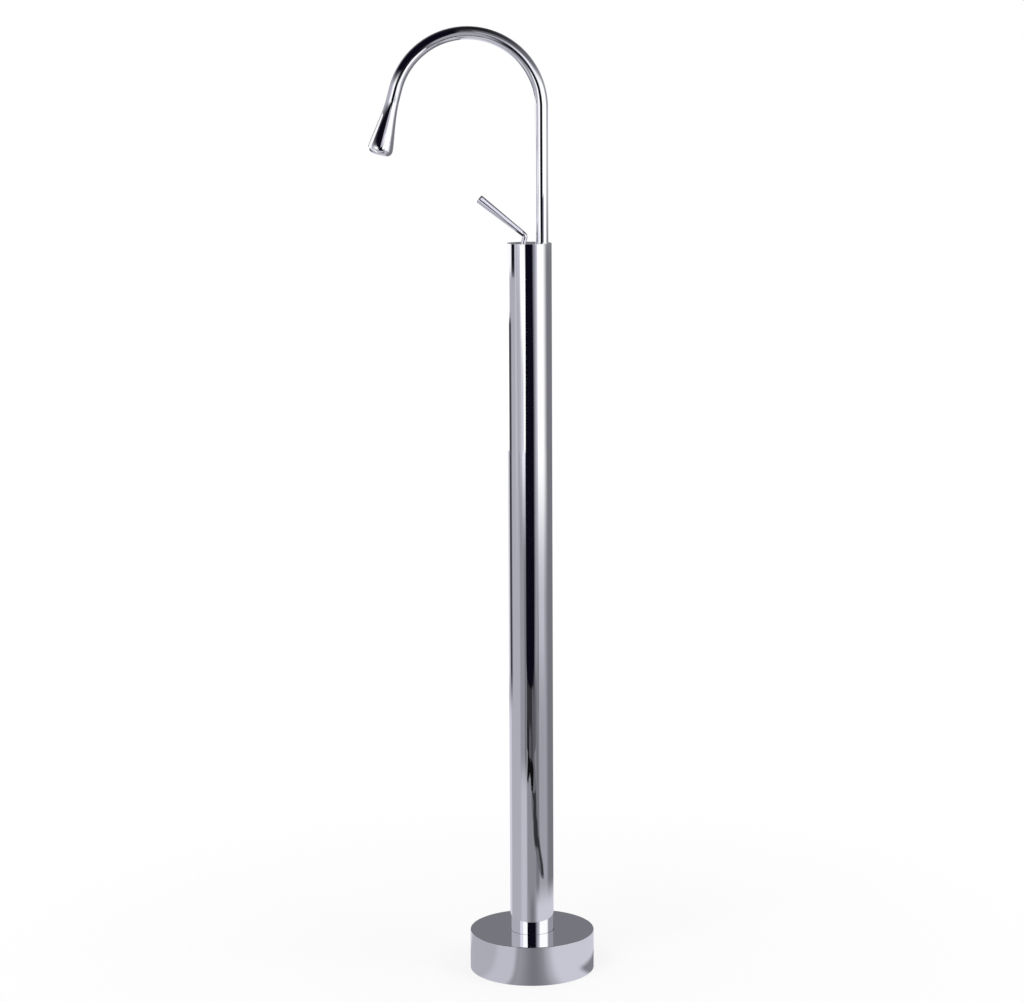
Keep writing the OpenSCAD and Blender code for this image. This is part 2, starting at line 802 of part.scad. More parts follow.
module moving_disc() {
    color(ceramic) translate([carrier_x, 0, fixed_disc_top + disc_film]) difference() {
        cylinder(r = moving_disc_r, h = moving_disc_t);
        translate([0, 0, -past]) cylinder(r = pocket_r, h = pocket_depth + past);
    }
}

module spout_fitting() {
    color(brass) translate([riser_x, 0, 0]) difference() {
        union() {
            translate([0, 0, fitting_bottom]) cylinder(r = spout_r, h = fitting_top - fitting_bottom);
            translate([0, 0, fitting_top - past])
                cylinder(r = spout_in_r - fit, h = fitting_spigot_l + past);
        }
        cylinder(r = fitting_bore_r, h = fitting_top + fitting_spigot_l + past);
        for (up = spout_seal_up) translate([0, 0, socket_z + up - seal_groove_w / 2])
            ring(spout_r + past, spout_r - 2 * spout_seal_r - fit, seal_groove_w);
        translate([0, 0, deck - run]) ring(spout_r + past, plate_groove_r, plate_t + 2 * run);
        rotate(90 - stop_half_angle) translate([0, 0, fitting_bottom - past])
            rotate_extrude(angle = 2 * stop_half_angle)
                translate([stop_mid_r - stop_slot_w / 2, 0]) square([stop_slot_w, stop_slot_h + past]);
    }
}

module spout_o_rings() {
    color(rubber) for (up = spout_seal_up) translate([riser_x, 0, socket_z + up])
        o_ring(spout_seal_mid_r, spout_seal_r);
}

module spout_tube() {
    color(chrome) union() {
        translate([riser_x, 0, fitting_top]) ring(spout_r, spout_in_r, arch_z - fitting_top);
        translate([arch_x, 0, arch_z]) rotate([90, 0, 0]) rotate_extrude(angle = arch_turn)
            translate([arch_r, 0]) difference() {
                circle(r = spout_r);
                circle(r = spout_in_r);
            }
        at_arch_end() translate([0, 0, -bend_lap])
            ring(spout_r - bend_step, spout_in_r + bend_step, limb_l - drop_l + bend_lap);
    }
}

// Outline of the drop: rounded rim, then one smooth curve up to the neck
function drop_rim() = [for (a = [0 : 10 : 80])
    [outlet_r + (drop_r - outlet_r) * sin(a), rim_round * (1 - cos(a))]];
function drop_flank() = [for (i = [0 : drop_steps])
    bezier([drop_r, rim_round], [drop_r, rim_round + drop_l * drop_swell],
        [spout_r, drop_l * drop_taper], [spout_r, drop_l], i / drop_steps)];

module spout_drop() {
    color(chrome) at_outlet() difference() {
        union() {
            rotate_extrude() polygon(concat([[0, 0]], drop_rim(), drop_flank(), [[0, drop_l]]));
            translate([0, 0, drop_l - past])
                cylinder(r = spout_in_r - fit, h = drop_spigot_l + past);
        }
        translate([0, 0, -past]) cylinder(r = aerator_bore_r, h = aerator_seat + past);
        cylinder(r = drop_bore_r, h = drop_l + drop_spigot_l + past);
    }
}

module aerator_gasket() {
    color(rubber) at_outlet() translate([0, 0, aerator_recess + aerator_l])
        ring(aerator_r, drop_bore_r, aerator_gasket_t);
}

module aerator_core() {
    color(nylon) at_outlet() translate([0, 0, aerator_recess + aerator_lip_t]) difference() {
        cylinder(r = core_r, h = core_l);
        for (i = [-core_rows : core_rows], j = [-core_rows : core_rows]) {
            if (abs(i + j) <= core_rows) {
                translate([core_pitch * (i + j / 2), core_pitch * j * sin(60), -past])
                    cylinder(r = core_hole_r, h = core_l + 2 * past, $fn = 24);
            }
        }
    }
}

module aerator_housing() {
    color(chrome) at_outlet() translate([0, 0, aerator_recess]) difference() {
        cylinder(r = aerator_r, h = aerator_l);
        translate([0, 0, aerator_lip_t]) cylinder(r = aerator_r - aerator_wall, h = aerator_l);
        translate([0, 0, -past])
            cylinder(r = aerator_r - aerator_wall - aerator_lip_w, h = aerator_l);
        translate([-notch_w / 2, -aerator_r - past, -past])
            cube([notch_w, 2 * (aerator_r + past), notch_depth - aerator_lip_t / 2 + past]);
    }
}

module base_cover() {
    color(chrome) difference() {
        rotate_extrude() polygon([
            [base_r - cover_wall, 0],
            [base_r, 0],
            [base_r, base_h - cover_edge],
            [base_r - cover_edge, base_h],
            [cover_hole_r, base_h],
            [cover_hole_r, base_h - cover_top_t - cover_collar_h],
            [cover_collar_r, base_h - cover_top_t - cover_collar_h],
            [cover_collar_r, base_h - cover_top_t],
            [base_r - cover_wall, base_h - cover_top_t]]);
        translate([0, 0, cover_seal_z - cover_seal_r - fit])
            cylinder(r = cover_seal_mid_r + cover_seal_r + fit, h = 2 * (cover_seal_r + fit));
    }
}

module cover_seal_ring() {
    color(rubber) translate([0, 0, cover_seal_z]) o_ring(cover_seal_mid_r, cover_seal_r);
}

floor_gasket();
floor_flange();
column_tube();
foot_screws();
column_support_plate();
mixer_body();
body_screws();
channel_plug();
hose_tails();
tail_o_rings();
hot_hose();
cold_hose();
hose_ferrules();
supply_tails();
supply_nuts();
supply_washers();
cartridge_base();
cartridge_seals();
fixed_disc();
cartridge_housing();
cartridge_nut();
top_cap();
cap_o_ring();
spout_retaining_plate();
retaining_screws();
swivel_stop_pin();
cartridge_rotor();
tilt_pin();
cartridge_spindle();
lever_handle();
lever_grub_screw();
disc_carrier();
moving_disc();
spout_fitting();
spout_o_rings();
spout_tube();
spout_drop();
aerator_gasket();
aerator_core();
aerator_housing();
base_cover();
cover_seal_ring();
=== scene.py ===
import json
from math import acos, atan2, cos, pi, radians, sin, tan

import bmesh
import bpy
from mathutils import Matrix, Vector


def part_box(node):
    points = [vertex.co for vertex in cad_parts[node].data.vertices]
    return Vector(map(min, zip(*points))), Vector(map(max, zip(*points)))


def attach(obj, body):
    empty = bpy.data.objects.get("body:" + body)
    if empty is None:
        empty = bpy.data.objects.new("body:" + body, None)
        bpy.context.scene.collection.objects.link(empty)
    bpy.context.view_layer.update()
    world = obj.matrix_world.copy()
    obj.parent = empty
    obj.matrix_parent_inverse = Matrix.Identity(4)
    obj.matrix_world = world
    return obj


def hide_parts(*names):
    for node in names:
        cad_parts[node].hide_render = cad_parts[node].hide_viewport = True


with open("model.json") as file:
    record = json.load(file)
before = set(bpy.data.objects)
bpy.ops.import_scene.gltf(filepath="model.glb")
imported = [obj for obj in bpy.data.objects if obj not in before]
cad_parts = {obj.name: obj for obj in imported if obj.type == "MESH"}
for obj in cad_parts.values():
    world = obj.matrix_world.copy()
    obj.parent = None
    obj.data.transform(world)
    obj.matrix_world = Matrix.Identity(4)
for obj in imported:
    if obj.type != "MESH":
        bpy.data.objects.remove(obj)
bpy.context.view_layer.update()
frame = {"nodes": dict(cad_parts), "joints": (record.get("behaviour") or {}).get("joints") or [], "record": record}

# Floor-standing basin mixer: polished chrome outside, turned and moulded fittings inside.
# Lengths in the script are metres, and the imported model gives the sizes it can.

bl_info = {
    "name": "Basin Mixer",
    "version": (1, 0, 0),
    "blender": (4, 5, 0),
    "location": "View3D > Sidebar > Mixer",
    "description": "Builds the chrome pieces, finishes and studio of a floor-standing basin mixer",
    "category": "Object",
}

MM = 0.001
DEGREES = 180 / pi


def joint_of(name):
    """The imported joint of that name"""
    return next(j for j in frame["joints"] if j["name"] == name)


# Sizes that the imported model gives
COLUMN_LOW, COLUMN_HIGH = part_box("column_tube")
COVER_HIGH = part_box("base_cover")[1]
CAP_LOW, CAP_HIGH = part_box("top_cap")
FITTING_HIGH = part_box("spout_fitting")[1]
TUBE_LOW, TUBE_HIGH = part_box("spout_tube")
SWIVEL_X = joint_of("spout_swivel")["pos_m"][0]
PIVOT = Vector(joint_of("lever_tilt")["pos_m"])


def length(name, default, text):
    """A length property in metres"""
    return bpy.props.FloatProperty(name=name, default=default, description=text,
                                   subtype="DISTANCE", unit="LENGTH", min=0.0, precision=5)


def angle(name, degrees, text):
    """An angle property, given here in degrees"""
    return bpy.props.FloatProperty(name=name, default=radians(degrees), description=text,
                                   subtype="ANGLE", unit="ROTATION")


def colour(name, default, text):
    """A colour property"""
    return bpy.props.FloatVectorProperty(name=name, default=default, description=text,
                                         subtype="COLOR", size=3, min=0.0, max=1.0)


def share(name, default, text):
    """A plain number from 0 to 1"""
    return bpy.props.FloatProperty(name=name, default=default, description=text,
                                   subtype="FACTOR", min=0.0, max=1.0)


class ColumnSizes(bpy.types.PropertyGroup):
    """Sizes of the column, its cap and the base cover"""
    column_r: length("Column radius", COLUMN_HIGH.x, "Outside radius of the column")
    column_wall: length("Column wall", 1.5 * MM, "Wall of the column tube")
    column_foot: length("Column foot", COLUMN_LOW.z, "Height of the column's lower end")
    column_top: length("Column top", COLUMN_HIGH.z, "Height of the column's flat top")
    top_edge: length("Top edge", 0.3 * MM, "Rounding of the column's and the cap's top edges")
    cap_r: length("Cap radius", CAP_HIGH.x, "Radius of the top cap")
    cap_t: length("Cap thickness", CAP_HIGH.z - CAP_LOW.z, "Thickness of the top cap")
    riser_gap: length("Riser gap", 0.3 * MM, "Gap round the spout tube in the cap")
    lever_gap: length("Lever gap", 2.95 * MM, "Gap round the lever's rod in the cap")
    ball_seat_r: length("Ball seat", 7.8 * MM, "Radius of the hollow over the pivot ball")
    ring_groove_z: length("Ring groove", 1.7 * MM, "Width of the O-ring groove in the cap's side")
    ring_groove_d: length("Ring groove depth", 1.45 * MM, "Depth of the O-ring groove in the cap's side")
    cover_r: length("Cover radius", COVER_HIGH.x, "Radius of the base cover")
    cover_h: length("Cover height", COVER_HIGH.z, "Height of the base cover")
    cover_wall: length("Cover wall", 2.0 * MM, "Side wall of the base cover")
    cover_top_t: length("Cover top", 2.2 * MM, "Thickness of the base cover's top")
    cover_edge: length("Cover edge", 0.6 * MM, "Rounding of the base cover's top edge")
    cover_gap: length("Cover gap", 0.4 * MM, "Gap between the column and the cover's hole")
    collar_w: length("Collar width", 4.2 * MM, "Width of the collar round the cover's hole")
    collar_h: length("Collar height", 6.0 * MM, "Height of the collar under the cover's top")
    seal_r: length("Seal radius", 1.1 * MM, "Section radius of the cover's seal ring")
    seal_gap: length("Seal gap", 0.08 * MM, "Gap between the seal ring and the column")


class SpoutSizes(bpy.types.PropertyGroup):
    """Sizes of the spout tube, the drop and the aerator"""
    tube_r: length("Tube radius", FITTING_HIGH.x - SWIVEL_X, "Outside radius of the spout tube")
    tube_wall: length("Tube wall", 1.2 * MM, "Wall of the spout tube")
    riser_x: length("Riser", SWIVEL_X, "Distance of the riser from the column's axis")
    riser_foot: length("Riser foot", TUBE_LOW.z, "Height of the spout tube's lower end")
    arch_r: length("Arch radius", 90 * MM, "Radius of the arch to the middle of the tube")
    arch_turn: angle("Arch turn", 165, "Turn of the arch from the riser over the top")
    limb_l: length("Limb", 82 * MM, "Straight run from the arch's end to the outlet's face")
    drop_r: length("Drop radius", 15.2 * MM, "Widest radius of the drop")
    drop_l: length("Drop length", 68 * MM, "Length of the drop from its neck to the outlet's face")
    rim_round: length("Rim", 7.5 * MM, "Height of the drop's rounded rim")
    drop_swell: share("Swell", 0.13, "Share of the drop over which it stays wide above the rim")
    drop_taper: share("Taper", 0.72, "Share of the drop at which it starts to run into the tube")
    drop_bore_r: length("Drop bore", 5 * MM, "Radius of the drop's bore")
    spigot_r: length("Spigot", 6.75 * MM, "Radius of the spigot in the spout tube")
    spigot_l: length("Spigot length", 8 * MM, "Length of the spigot in the spout tube")
    aerator_r: length("Aerator radius", 7.4 * MM, "Radius of the aerator")
    aerator_bore_r: length("Aerator bore", 7.45 * MM, "Radius of the aerator's bore in the drop")
    aerator_seat: length("Aerator seat", 10.1 * MM, "Depth of the aerator's seat in the drop")
    outlet_r: length("Outlet radius", 8.3 * MM, "Radius at which the rim's rounding starts")
    aerator_recess: length("Aerator recess", 0.6 * MM, "Depth of the aerator below the outlet's face")
    aerator_l: length("Aerator length", 8 * MM, "Length of the aerator's housing")
    aerator_wall: length("Aerator wall", 1.2 * MM, "Wall of the aerator's housing")
    aerator_lip_t: length("Aerator lip", 0.8 * MM, "Thickness of the lip that holds the core")
    aerator_lip_w: length("Aerator lip width", 0.6 * MM, "Width of the lip that holds the core")
    notch_w: length("Notch width", 2 * MM, "Width of the key notches in the aerator")
    notch_depth: length("Notch depth", 0.5 * MM, "Depth of the key notches in the aerator")


class LeverSizes(bpy.types.PropertyGroup):
    """Sizes of the lever's handle, measured up from the middle of the pivot ball"""
    rod_r: length("Rod radius", 3.25 * MM, "Radius of the rod at the stub and the knee")
    tip_r: length("Tip radius", 5.5 * MM, "Radius of the rod at its tip")
    tip_round: length("Tip rounding", 2 * MM, "Rounding of the tip's edge")
    handle_l: length("Handle length", 72.5 * MM, "Length from the knee to the tip")
    handle_rise: angle("Handle rise", 38.6, "Rise of the handle above level with the water off")
    stub_lean: angle("Stub lean", 14, "Lean of the stub from upright with the water off")
    knee_h: length("Knee height", 9 * MM, "Height of the knee above the column's top")
    knee_r: length("Knee bend", 4.5 * MM, "Radius of the knee's bend to the middle of the rod")
    stub_foot: length("Stub foot", 6.6 * MM, "Foot of the stub on the ball's flat")
    pin_r: length("Pin bore", 2.05 * MM, "Radius of the bore over the spindle's pin")
    pin_l: length("Pin bore depth", 7.3 * MM, "Depth of the bore over the spindle's pin")
    grub_up: length("Grub screw", 11.0 * MM, "Height of the grub screw up the stub")
    grub_r: length("Grub hole", 1.3 * MM, "Radius of the grub screw's hole")


class FinishColours(bpy.types.PropertyGroup):
    """Colours and gloss of the finishes"""
    chrome: colour("Chrome", (0.90, 0.903, 0.925), "Colour of the chrome plate")
    chrome_rough: share("Chrome roughness", 0.03, "Roughness of the clean chrome plate")
    brass: colour("Brass", (0.78, 0.58, 0.27), "Colour of the turned brass")
    steel: colour("Steel", (0.62, 0.63, 0.65), "Colour of the turned stainless steel")
    rubber: colour("Rubber", (0.035, 0.035, 0.04), "Colour of the seals")
    ceramic: colour("Ceramic", (0.90, 0.88, 0.83), "Colour of the lapped discs")
    nylon: colour("Nylon", (0.11, 0.12, 0.13), "Colour of the moulded cartridge and core")
    acetal: colour("Acetal", (0.80, 0.80, 0.81), "Colour of the moulded carrier and rotor")


class StudioSizes(bpy.types.PropertyGroup):
    """Camera, floor and what surrounds the chrome"""
    camera_x: length("Camera X", -0.0227, "Camera's place along X")
    camera_y: length("Camera Y", -3.279, "Camera's place along Y")
    camera_z: length("Camera Z", 1.110, "Camera's height")
    camera_pitch: angle("Camera pitch", 8.82, "How far the camera looks down")
    camera_roll: angle("Camera roll", -0.30, "Roll of the camera")
    camera_lens: bpy.props.FloatProperty(name="Lens", default=93.83, min=1.0,
                                         description="Focal length in millimetres")
    floor_half: length("Floor", 14.0, "Half the side of the floor")
    dome_r: length("Dome", 5.0, "Radius of the studio dome")
    dome_z: length("Dome height", 1.0, "Height of the dome's centre")


def sizes():
    """The scene's property groups"""
    return bpy.context.scene.mixer


class MixerSettings(bpy.types.PropertyGroup):
    """All settings of the mixer"""
    column: bpy.props.PointerProperty(type=ColumnSizes, name="Column")
    spout: bpy.props.PointerProperty(type=SpoutSizes, name="Spout")
    lever: bpy.props.PointerProperty(type=LeverSizes, name="Lever")
    finish: bpy.props.PointerProperty(type=FinishColours, name="Finish")
    studio: bpy.props.PointerProperty(type=StudioSizes, name="Studio")


# Mesh building: every piece is a skin over loops of points

# Points round the base cover, the column, the drop, a tube or rod, and a screw's hole
COVER_POINTS, COLUMN_POINTS, OUTLET_POINTS, ROD_POINTS, HOLE_POINTS = 320, 256, 128, 96, 48
# Steps round a corner, the hollow over the pivot ball, the drop's rim, and up its flank
CORNER_STEPS, BALL_STEPS, RIM_STEPS, FLANK_STEPS = 5, 48, 16, 48
# Steps up the riser, round the arch and the lever's knee, along its handle and round its tip
RISER_STEPS, ARCH_STEPS, KNEE_STEPS, HANDLE_STEPS, TIP_STEPS = 8, 120, 24, 13, 8
SHARP_OVER = 28  # Edges that bend further than these degrees stay crisp
AXIS_R = 1e-7  # A ring of a smaller radius is one point
SUPPORT = 0.15 * MM  # From a rounding to the support point beside it
BEND_LEAD = 0.5 * MM  # From the lever's last straight loop to its knee
CUT_OVER = 0.2 * MM  # How far the cap's cutters stand over its top
CUT_PAST = 1 * MM  # How far other cutters pass the metal
BROKEN_EDGE = 0.1 * MM  # At the cap's holes
SMALL_EDGE = 0.2 * MM  # At the cover's hole and the aerator's face
WIDE_EDGE = 0.3 * MM  # At the cover's foot and the outlet's mouth
SEAL_SLACK = 0.05 * MM  # Of the cover's seal ring in its groove


def add(name, data):
    """A new object in the scene"""
    made = bpy.data.objects.new(name, data)
    bpy.context.scene.collection.objects.link(made)
    return made


def skin(name, loops, wrap=False):
    """Closed mesh over loops of points, each a full ring or one pole; wrap joins the last to the first"""
    bm = bmesh.new()
    rows = [[bm.verts.new(p) for p in loop] for loop in loops]
    pairs = list(zip(rows, rows[1:]))
    if wrap:
        pairs.append((rows[-1], rows[0]))
    for low, high in pairs:
        n = max(len(low), len(high))
        for i in range(n):
            j = (i + 1) % n
            if len(low) == 1:
                bm.faces.new((low[0], high[j], high[i]))
            elif len(high) == 1:
                bm.faces.new((low[i], low[j], high[0]))
            else:
                bm.faces.new((low[i], low[j], high[j], high[i]))
    bmesh.ops.recalc_face_normals(bm, faces=bm.faces)
    mesh = bpy.data.meshes.new(name)
    bm.to_mesh(mesh)
    bm.free()
    return add(name, mesh)


def flat(name, points, faces):
    """Open piece without thickness"""
    mesh = bpy.data.meshes.new(name)
    mesh.from_pydata(points, [], faces)
    return add(name, mesh)


def sheet(name, corners):
    """Flat sheet over its corners"""
    return flat(name, corners, [list(range(len(corners)))])


def oblong(left, right, low, high):
    """Corners of an oblong"""
    return (left, low), (right, low), (right, high), (left, high)


def upright(x, y, z):
    """Upright frame at a place"""
    return Matrix.Translation((x, y, z))


def along(z):
    """Step along a frame's Z axis"""
    return upright(0, 0, z)


def ring_at(place, radius, count=ROD_POINTS):
    """Ring of points of a radius round a frame's Z axis, or the one point on the axis"""
    if radius < AXIS_R:
        return [place @ Vector((0, 0, 0))]
    turns = [2 * pi * i / count for i in range(count)]
    return [place @ Vector((radius * cos(a), radius * sin(a), 0)) for a in turns]


def lathe(name, profile, place=Matrix.Identity(4), wrap=False, count=ROD_POINTS):
    """Turned piece over a profile of (radius, height) points"""
    return skin(name, [ring_at(place @ along(z), r, count) for r, z in profile], wrap)


def rounded(points):
    """Closed profile of (r, z, rounding) corners: each rounding is an arc with a support point beside it"""
    out = []
    n = len(points)
    for i, (r, z, radius) in enumerate(points):
        here = Vector((r, z))
        if radius <= 0:
            out.append((r, z))
            continue
        back = (Vector(points[i - 1][:2]) - here).normalized()
        on = (Vector(points[(i + 1) % n][:2]) - here).normalized()
        half = acos(max(-1, min(1, back.dot(on)))) / 2
        centre = here + (back + on).normalized() * radius / sin(half)
        away = radius / tan(half)
        start = here + back * away - centre
        end = here + on * away - centre
        turn = atan2(start.x * end.y - start.y * end.x, start.dot(end))
        out.append(tuple(here + back * (away + SUPPORT)))
        for k in range(CORNER_STEPS + 1):
            a = turn * k / CORNER_STEPS
            out.append((centre.x + start.x * cos(a) - start.y * sin(a),
                        centre.y + start.x * sin(a) + start.y * cos(a)))
        out.append(tuple(here + on * (away + SUPPORT)))
    return out


def cut(piece, cutters):
    """Cuts other pieces out of a piece and removes them"""
    for cutter in cutters:
        step = piece.modifiers.new("cut", "BOOLEAN")
        step.operation = "DIFFERENCE"
        step.solver = "EXACT"
        step.object = cutter
    seen = piece.evaluated_get(bpy.context.evaluated_depsgraph_get())
    mesh = bpy.data.meshes.new_from_object(seen)
    old = piece.data
    piece.modifiers.clear()
    piece.data = mesh
    mesh.name = piece.name
    bpy.data.meshes.remove(old)
    for cutter in cutters:
        bpy.data.objects.remove(cutter)


def rod(name, place, radius, z0, z1, flare=0.0, count=ROD_POINTS):
    """Plain rod along a frame's Z, with a flared upper end for a broken edge"""
    profile = [(0, z0), (radius, z0)]
    if flare > 0:
        wide = radius + 2 * flare
        profile += [(radius, z1 - 3 * flare), (wide, z1 - flare), (wide, z1)]
    else:
        profile.append((radius, z1))
    return lathe(name, profile + [(0, z1)], place, count=count)


def place_piece(piece, body, finish, grain, *nodes):
    """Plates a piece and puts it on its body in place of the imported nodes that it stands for"""
    piece.data.shade_smooth()
    piece.data.set_sharp_from_angle(angle=radians(SHARP_OVER))
    piece.data.materials.clear()
    piece.data.materials.append(chrome_finish(finish, grain))
    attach(piece, body)
    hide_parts(*nodes)


# Shader maths: expressions on terms add their nodes

class Term:
    """A socket that can be used in sums"""

    def __init__(self, shader, socket):
        self.shader = shader
        self.socket = socket

    def _math(self, operation, first, second=None):
        values = {0: first} if second is None else {0: first, 1: second}
        node = self.shader.node("ShaderNodeMath", {"operation": operation}, values)
        return Term(self.shader, node.outputs[0])

    def __add__(self, other):
        return self._math("ADD", self, other)

    def __radd__(self, other):
        return self._math("ADD", other, self)

    def __sub__(self, other):
        return self._math("SUBTRACT", self, other)

    def __rsub__(self, other):
        return self._math("SUBTRACT", other, self)

    def __mul__(self, other):
        return self._math("MULTIPLY", self, other)

    def __rmul__(self, other):
        return self._math("MULTIPLY", other, self)

    def __truediv__(self, other):
        return self._math("DIVIDE", self, other)

    def __rtruediv__(self, other):
        return self._math("DIVIDE", other, self)

    def __pow__(self, other):
        return self._math("POWER", self, other)

    def __rpow__(self, other):
        return self._math("POWER", other, self)

    def sine(self):
        return self._math("SINE", self)

    def absolute(self):
        return self._math("ABSOLUTE", self)

    def arc_sine(self):
        return self._math("ARCSINE", self)

    def arc_tangent(self, other):
        return self._math("ARCTAN2", self, other)


def reach(first, *others):
    """Distance from zero of a point given by its numbers"""
    total = first * first
    for other in others:
        total = total + other * other
    return total ** 0.5


class Shader:
    """One node tree, with a method that makes any node"""

    def __init__(self, owner):
        owner.use_nodes = True
        self.tree = owner.node_tree
        self.tree.nodes.clear()

    def node(self, kind, settings=None, values=None):
        """A node of that type, with its settings first and then its sockets' values or links"""
        node = self.tree.nodes.new(kind)
        for key, value in (settings or {}).items():
            setattr(node, key, value)
        for key, value in (values or {}).items():
            self.put(node.inputs[key], value)
        return node

    def put(self, socket, value):
        """Links a term to a socket, or sets the socket's own value"""
        if isinstance(value, Term):
            self.tree.links.new(value.socket, socket)
        elif isinstance(value, bpy.types.NodeSocket):
            self.tree.links.new(value, socket)
        elif socket.type == "RGBA" and len(value) == 3:
            socket.default_value = (*value, 1)
        else:
            socket.default_value = value

    def term(self, node, output=0):
        """A node's output as a term"""
        return Term(self, node.outputs[output])

    def noise(self, place, scale, detail=2.0, roughness=0.5):
        """Soft noise from 0 to 1"""
        return self.term(self.node("ShaderNodeTexNoise", None, {
            "Vector": place, "Scale": scale, "Detail": detail, "Roughness": roughness}), "Fac")

    def stretched(self, place, scale):
        """Coordinates times a scale along each axis"""
        return self.term(self.node("ShaderNodeVectorMath", {"operation": "MULTIPLY"}, {
            0: place, 1: scale}))

    def step(self, value, low, high):
        """Smooth step from 0 to 1 as the value goes from low to high"""
        return self.term(self.node("ShaderNodeMapRange", {"interpolation_type": "SMOOTHSTEP"}, {
            "Value": value, "From Min": low, "From Max": high}))

    def band(self, value, low, high, soft):
        """1 between low and high and 0 outside, over soft edges"""
        return self.step(value, low - soft, low + soft) * (1 - self.step(value, high - soft, high + soft))

    def layers(self, shade, layers):
        """Masks with their tones, each laid over what is there"""
        for mask, tone in layers:
            shade = self.blend(mask, shade, level(tone))
        return shade

    def blend(self, factor, first, second):
        """Mix of two colours"""
        first_colour, second_colour, mixed_colour = 6, 7, 2
        node = self.node("ShaderNodeMix", {"data_type": "RGBA"}, {
            0: factor, first_colour: first, second_colour: second})
        return self.term(node, mixed_colour)

    def here(self):
        """The point's place in metres in the rest frame"""
        return self.term(self.node("ShaderNodeTexCoord"), "Object")

    def parts(self, vector):
        """The three numbers of a vector"""
        node = self.node("ShaderNodeSeparateXYZ", None, {0: vector})
        return [self.term(node, i) for i in range(3)]

    def bump(self, height, distance):
        """Normal from a height field, in metres"""
        return self.term(self.node("ShaderNodeBump", None, {
            "Height": height, "Distance": distance, "Strength": 1.0}))

    def light(self, shade):
        """Light of a colour"""
        return self.node("ShaderNodeEmission", None, {"Color": shade, "Strength": 1.0}).outputs[0]

    def mixed(self, factor, first, second):
        """Mix of two shaders"""
        return self.node("ShaderNodeMixShader", None, {0: factor, 1: first, 2: second}).outputs[0]

    def seen(self):
        """1 for rays of the camera and for rays in gloss and glass"""
        path = self.node("ShaderNodeLightPath")
        return sum(self.term(path, f"Is {ray} Ray") for ray in ("Camera", "Glossy", "Transmission"))

    def output(self, shader, kind="ShaderNodeOutputMaterial"):
        """The shader that the tree gives out"""
        self.node(kind, None, {0: shader})

    def surface(self, values):
        """A principled surface on the output"""
        self.output(self.node("ShaderNodeBsdfPrincipled", None, values).outputs[0])


def material(name):
    """A new material and its shader"""
    made = bpy.data.materials.new(name)
    return made, Shader(made)


def tint(colour_value, factor):
    """A colour made lighter or darker"""
    return tuple(min(1.0, c * factor) for c in colour_value)


def chrome_finish(name, grain):
    """Polished chrome plate: faint waviness, hairline wipe marks along grain, dried water spots"""
    finish = sizes().finish
    made, sh = material(name)
    at = sh.here()
    wave = sh.noise(at, scale=22.0, detail=1.0)
    ripple = sh.noise(at, scale=140.0)
    hair = sh.noise(sh.stretched(at, grain), scale=1.0, detail=3.0, roughness=0.6)
    scuff = sh.step(hair, 0.62, 0.80)
    film = sh.step(sh.noise(at, scale=35.0, detail=3.0), 0.45, 0.75)
    cells = sh.node("ShaderNodeTexVoronoi", None, {"Vector": at, "Scale": 170.0})
    drops = 1 - sh.step(sh.term(cells, "Distance"), 0.12, 0.20)
    chance = sh.term(sh.node("ShaderNodeSeparateColor", None, {0: sh.term(cells, "Color")}))
    spots = drops * sh.step(chance, 0.93, 0.94)
    height = wave * 0.6 + ripple * 0.10 + hair * 0.006 + spots * 0.02
    clean = tuple(finish.chrome)
    sh.surface({
        "Base Color": sh.blend(spots * 0.5 + film * 0.15, clean, tint(clean, 0.93)),
        "Metallic": 1.0,
        "Roughness": finish.chrome_rough + film * 0.012 + scuff * 0.025 + spots * 0.06,
        "Normal": sh.bump(height, 0.06 * MM),
    })
    return made


def turned_finish(name, base, rough):
    """Turned metal: fine tool rings round the upright axis, with handling marks"""
    made, sh = material(name)
    at = sh.here()
    x, y, z = sh.parts(at)
    section = sh.term(sh.node("ShaderNodeCombineXYZ", None, {0: reach(x, y), 1: z}))
    rings = sh.noise(section, scale=5200.0, roughness=0.6)
    patch = sh.noise(at, scale=90.0, detail=3.0)
    sh.surface({
        "Base Color": sh.blend(patch, tint(base, 0.86), tint(base, 1.06)),
        "Metallic": 1.0,
        "Roughness": rough + rings * 0.12 + patch * 0.08,
        "Normal": sh.bump(rings * 0.7 + patch * 0.3, 0.02 * MM),
    })
    return made


def moulded_finish(name, base, rough, fineness, depth):
    """Moulded plastic or rubber: fine grain, slight mottling, and duller high spots"""
    made, sh = material(name)
    at = sh.here()
    grain = sh.noise(at, scale=fineness, detail=3.0, roughness=0.6)
    mottle = sh.noise(at, scale=120.0)
    sh.surface({
        "Base Color": sh.blend(mottle, tint(base, 0.85), tint(base, 1.15)),
        "Roughness": rough + grain * 0.12 - mottle * 0.06,
        "Normal": sh.bump(grain * 0.8 + mottle * 0.2, depth),
    })
    return made


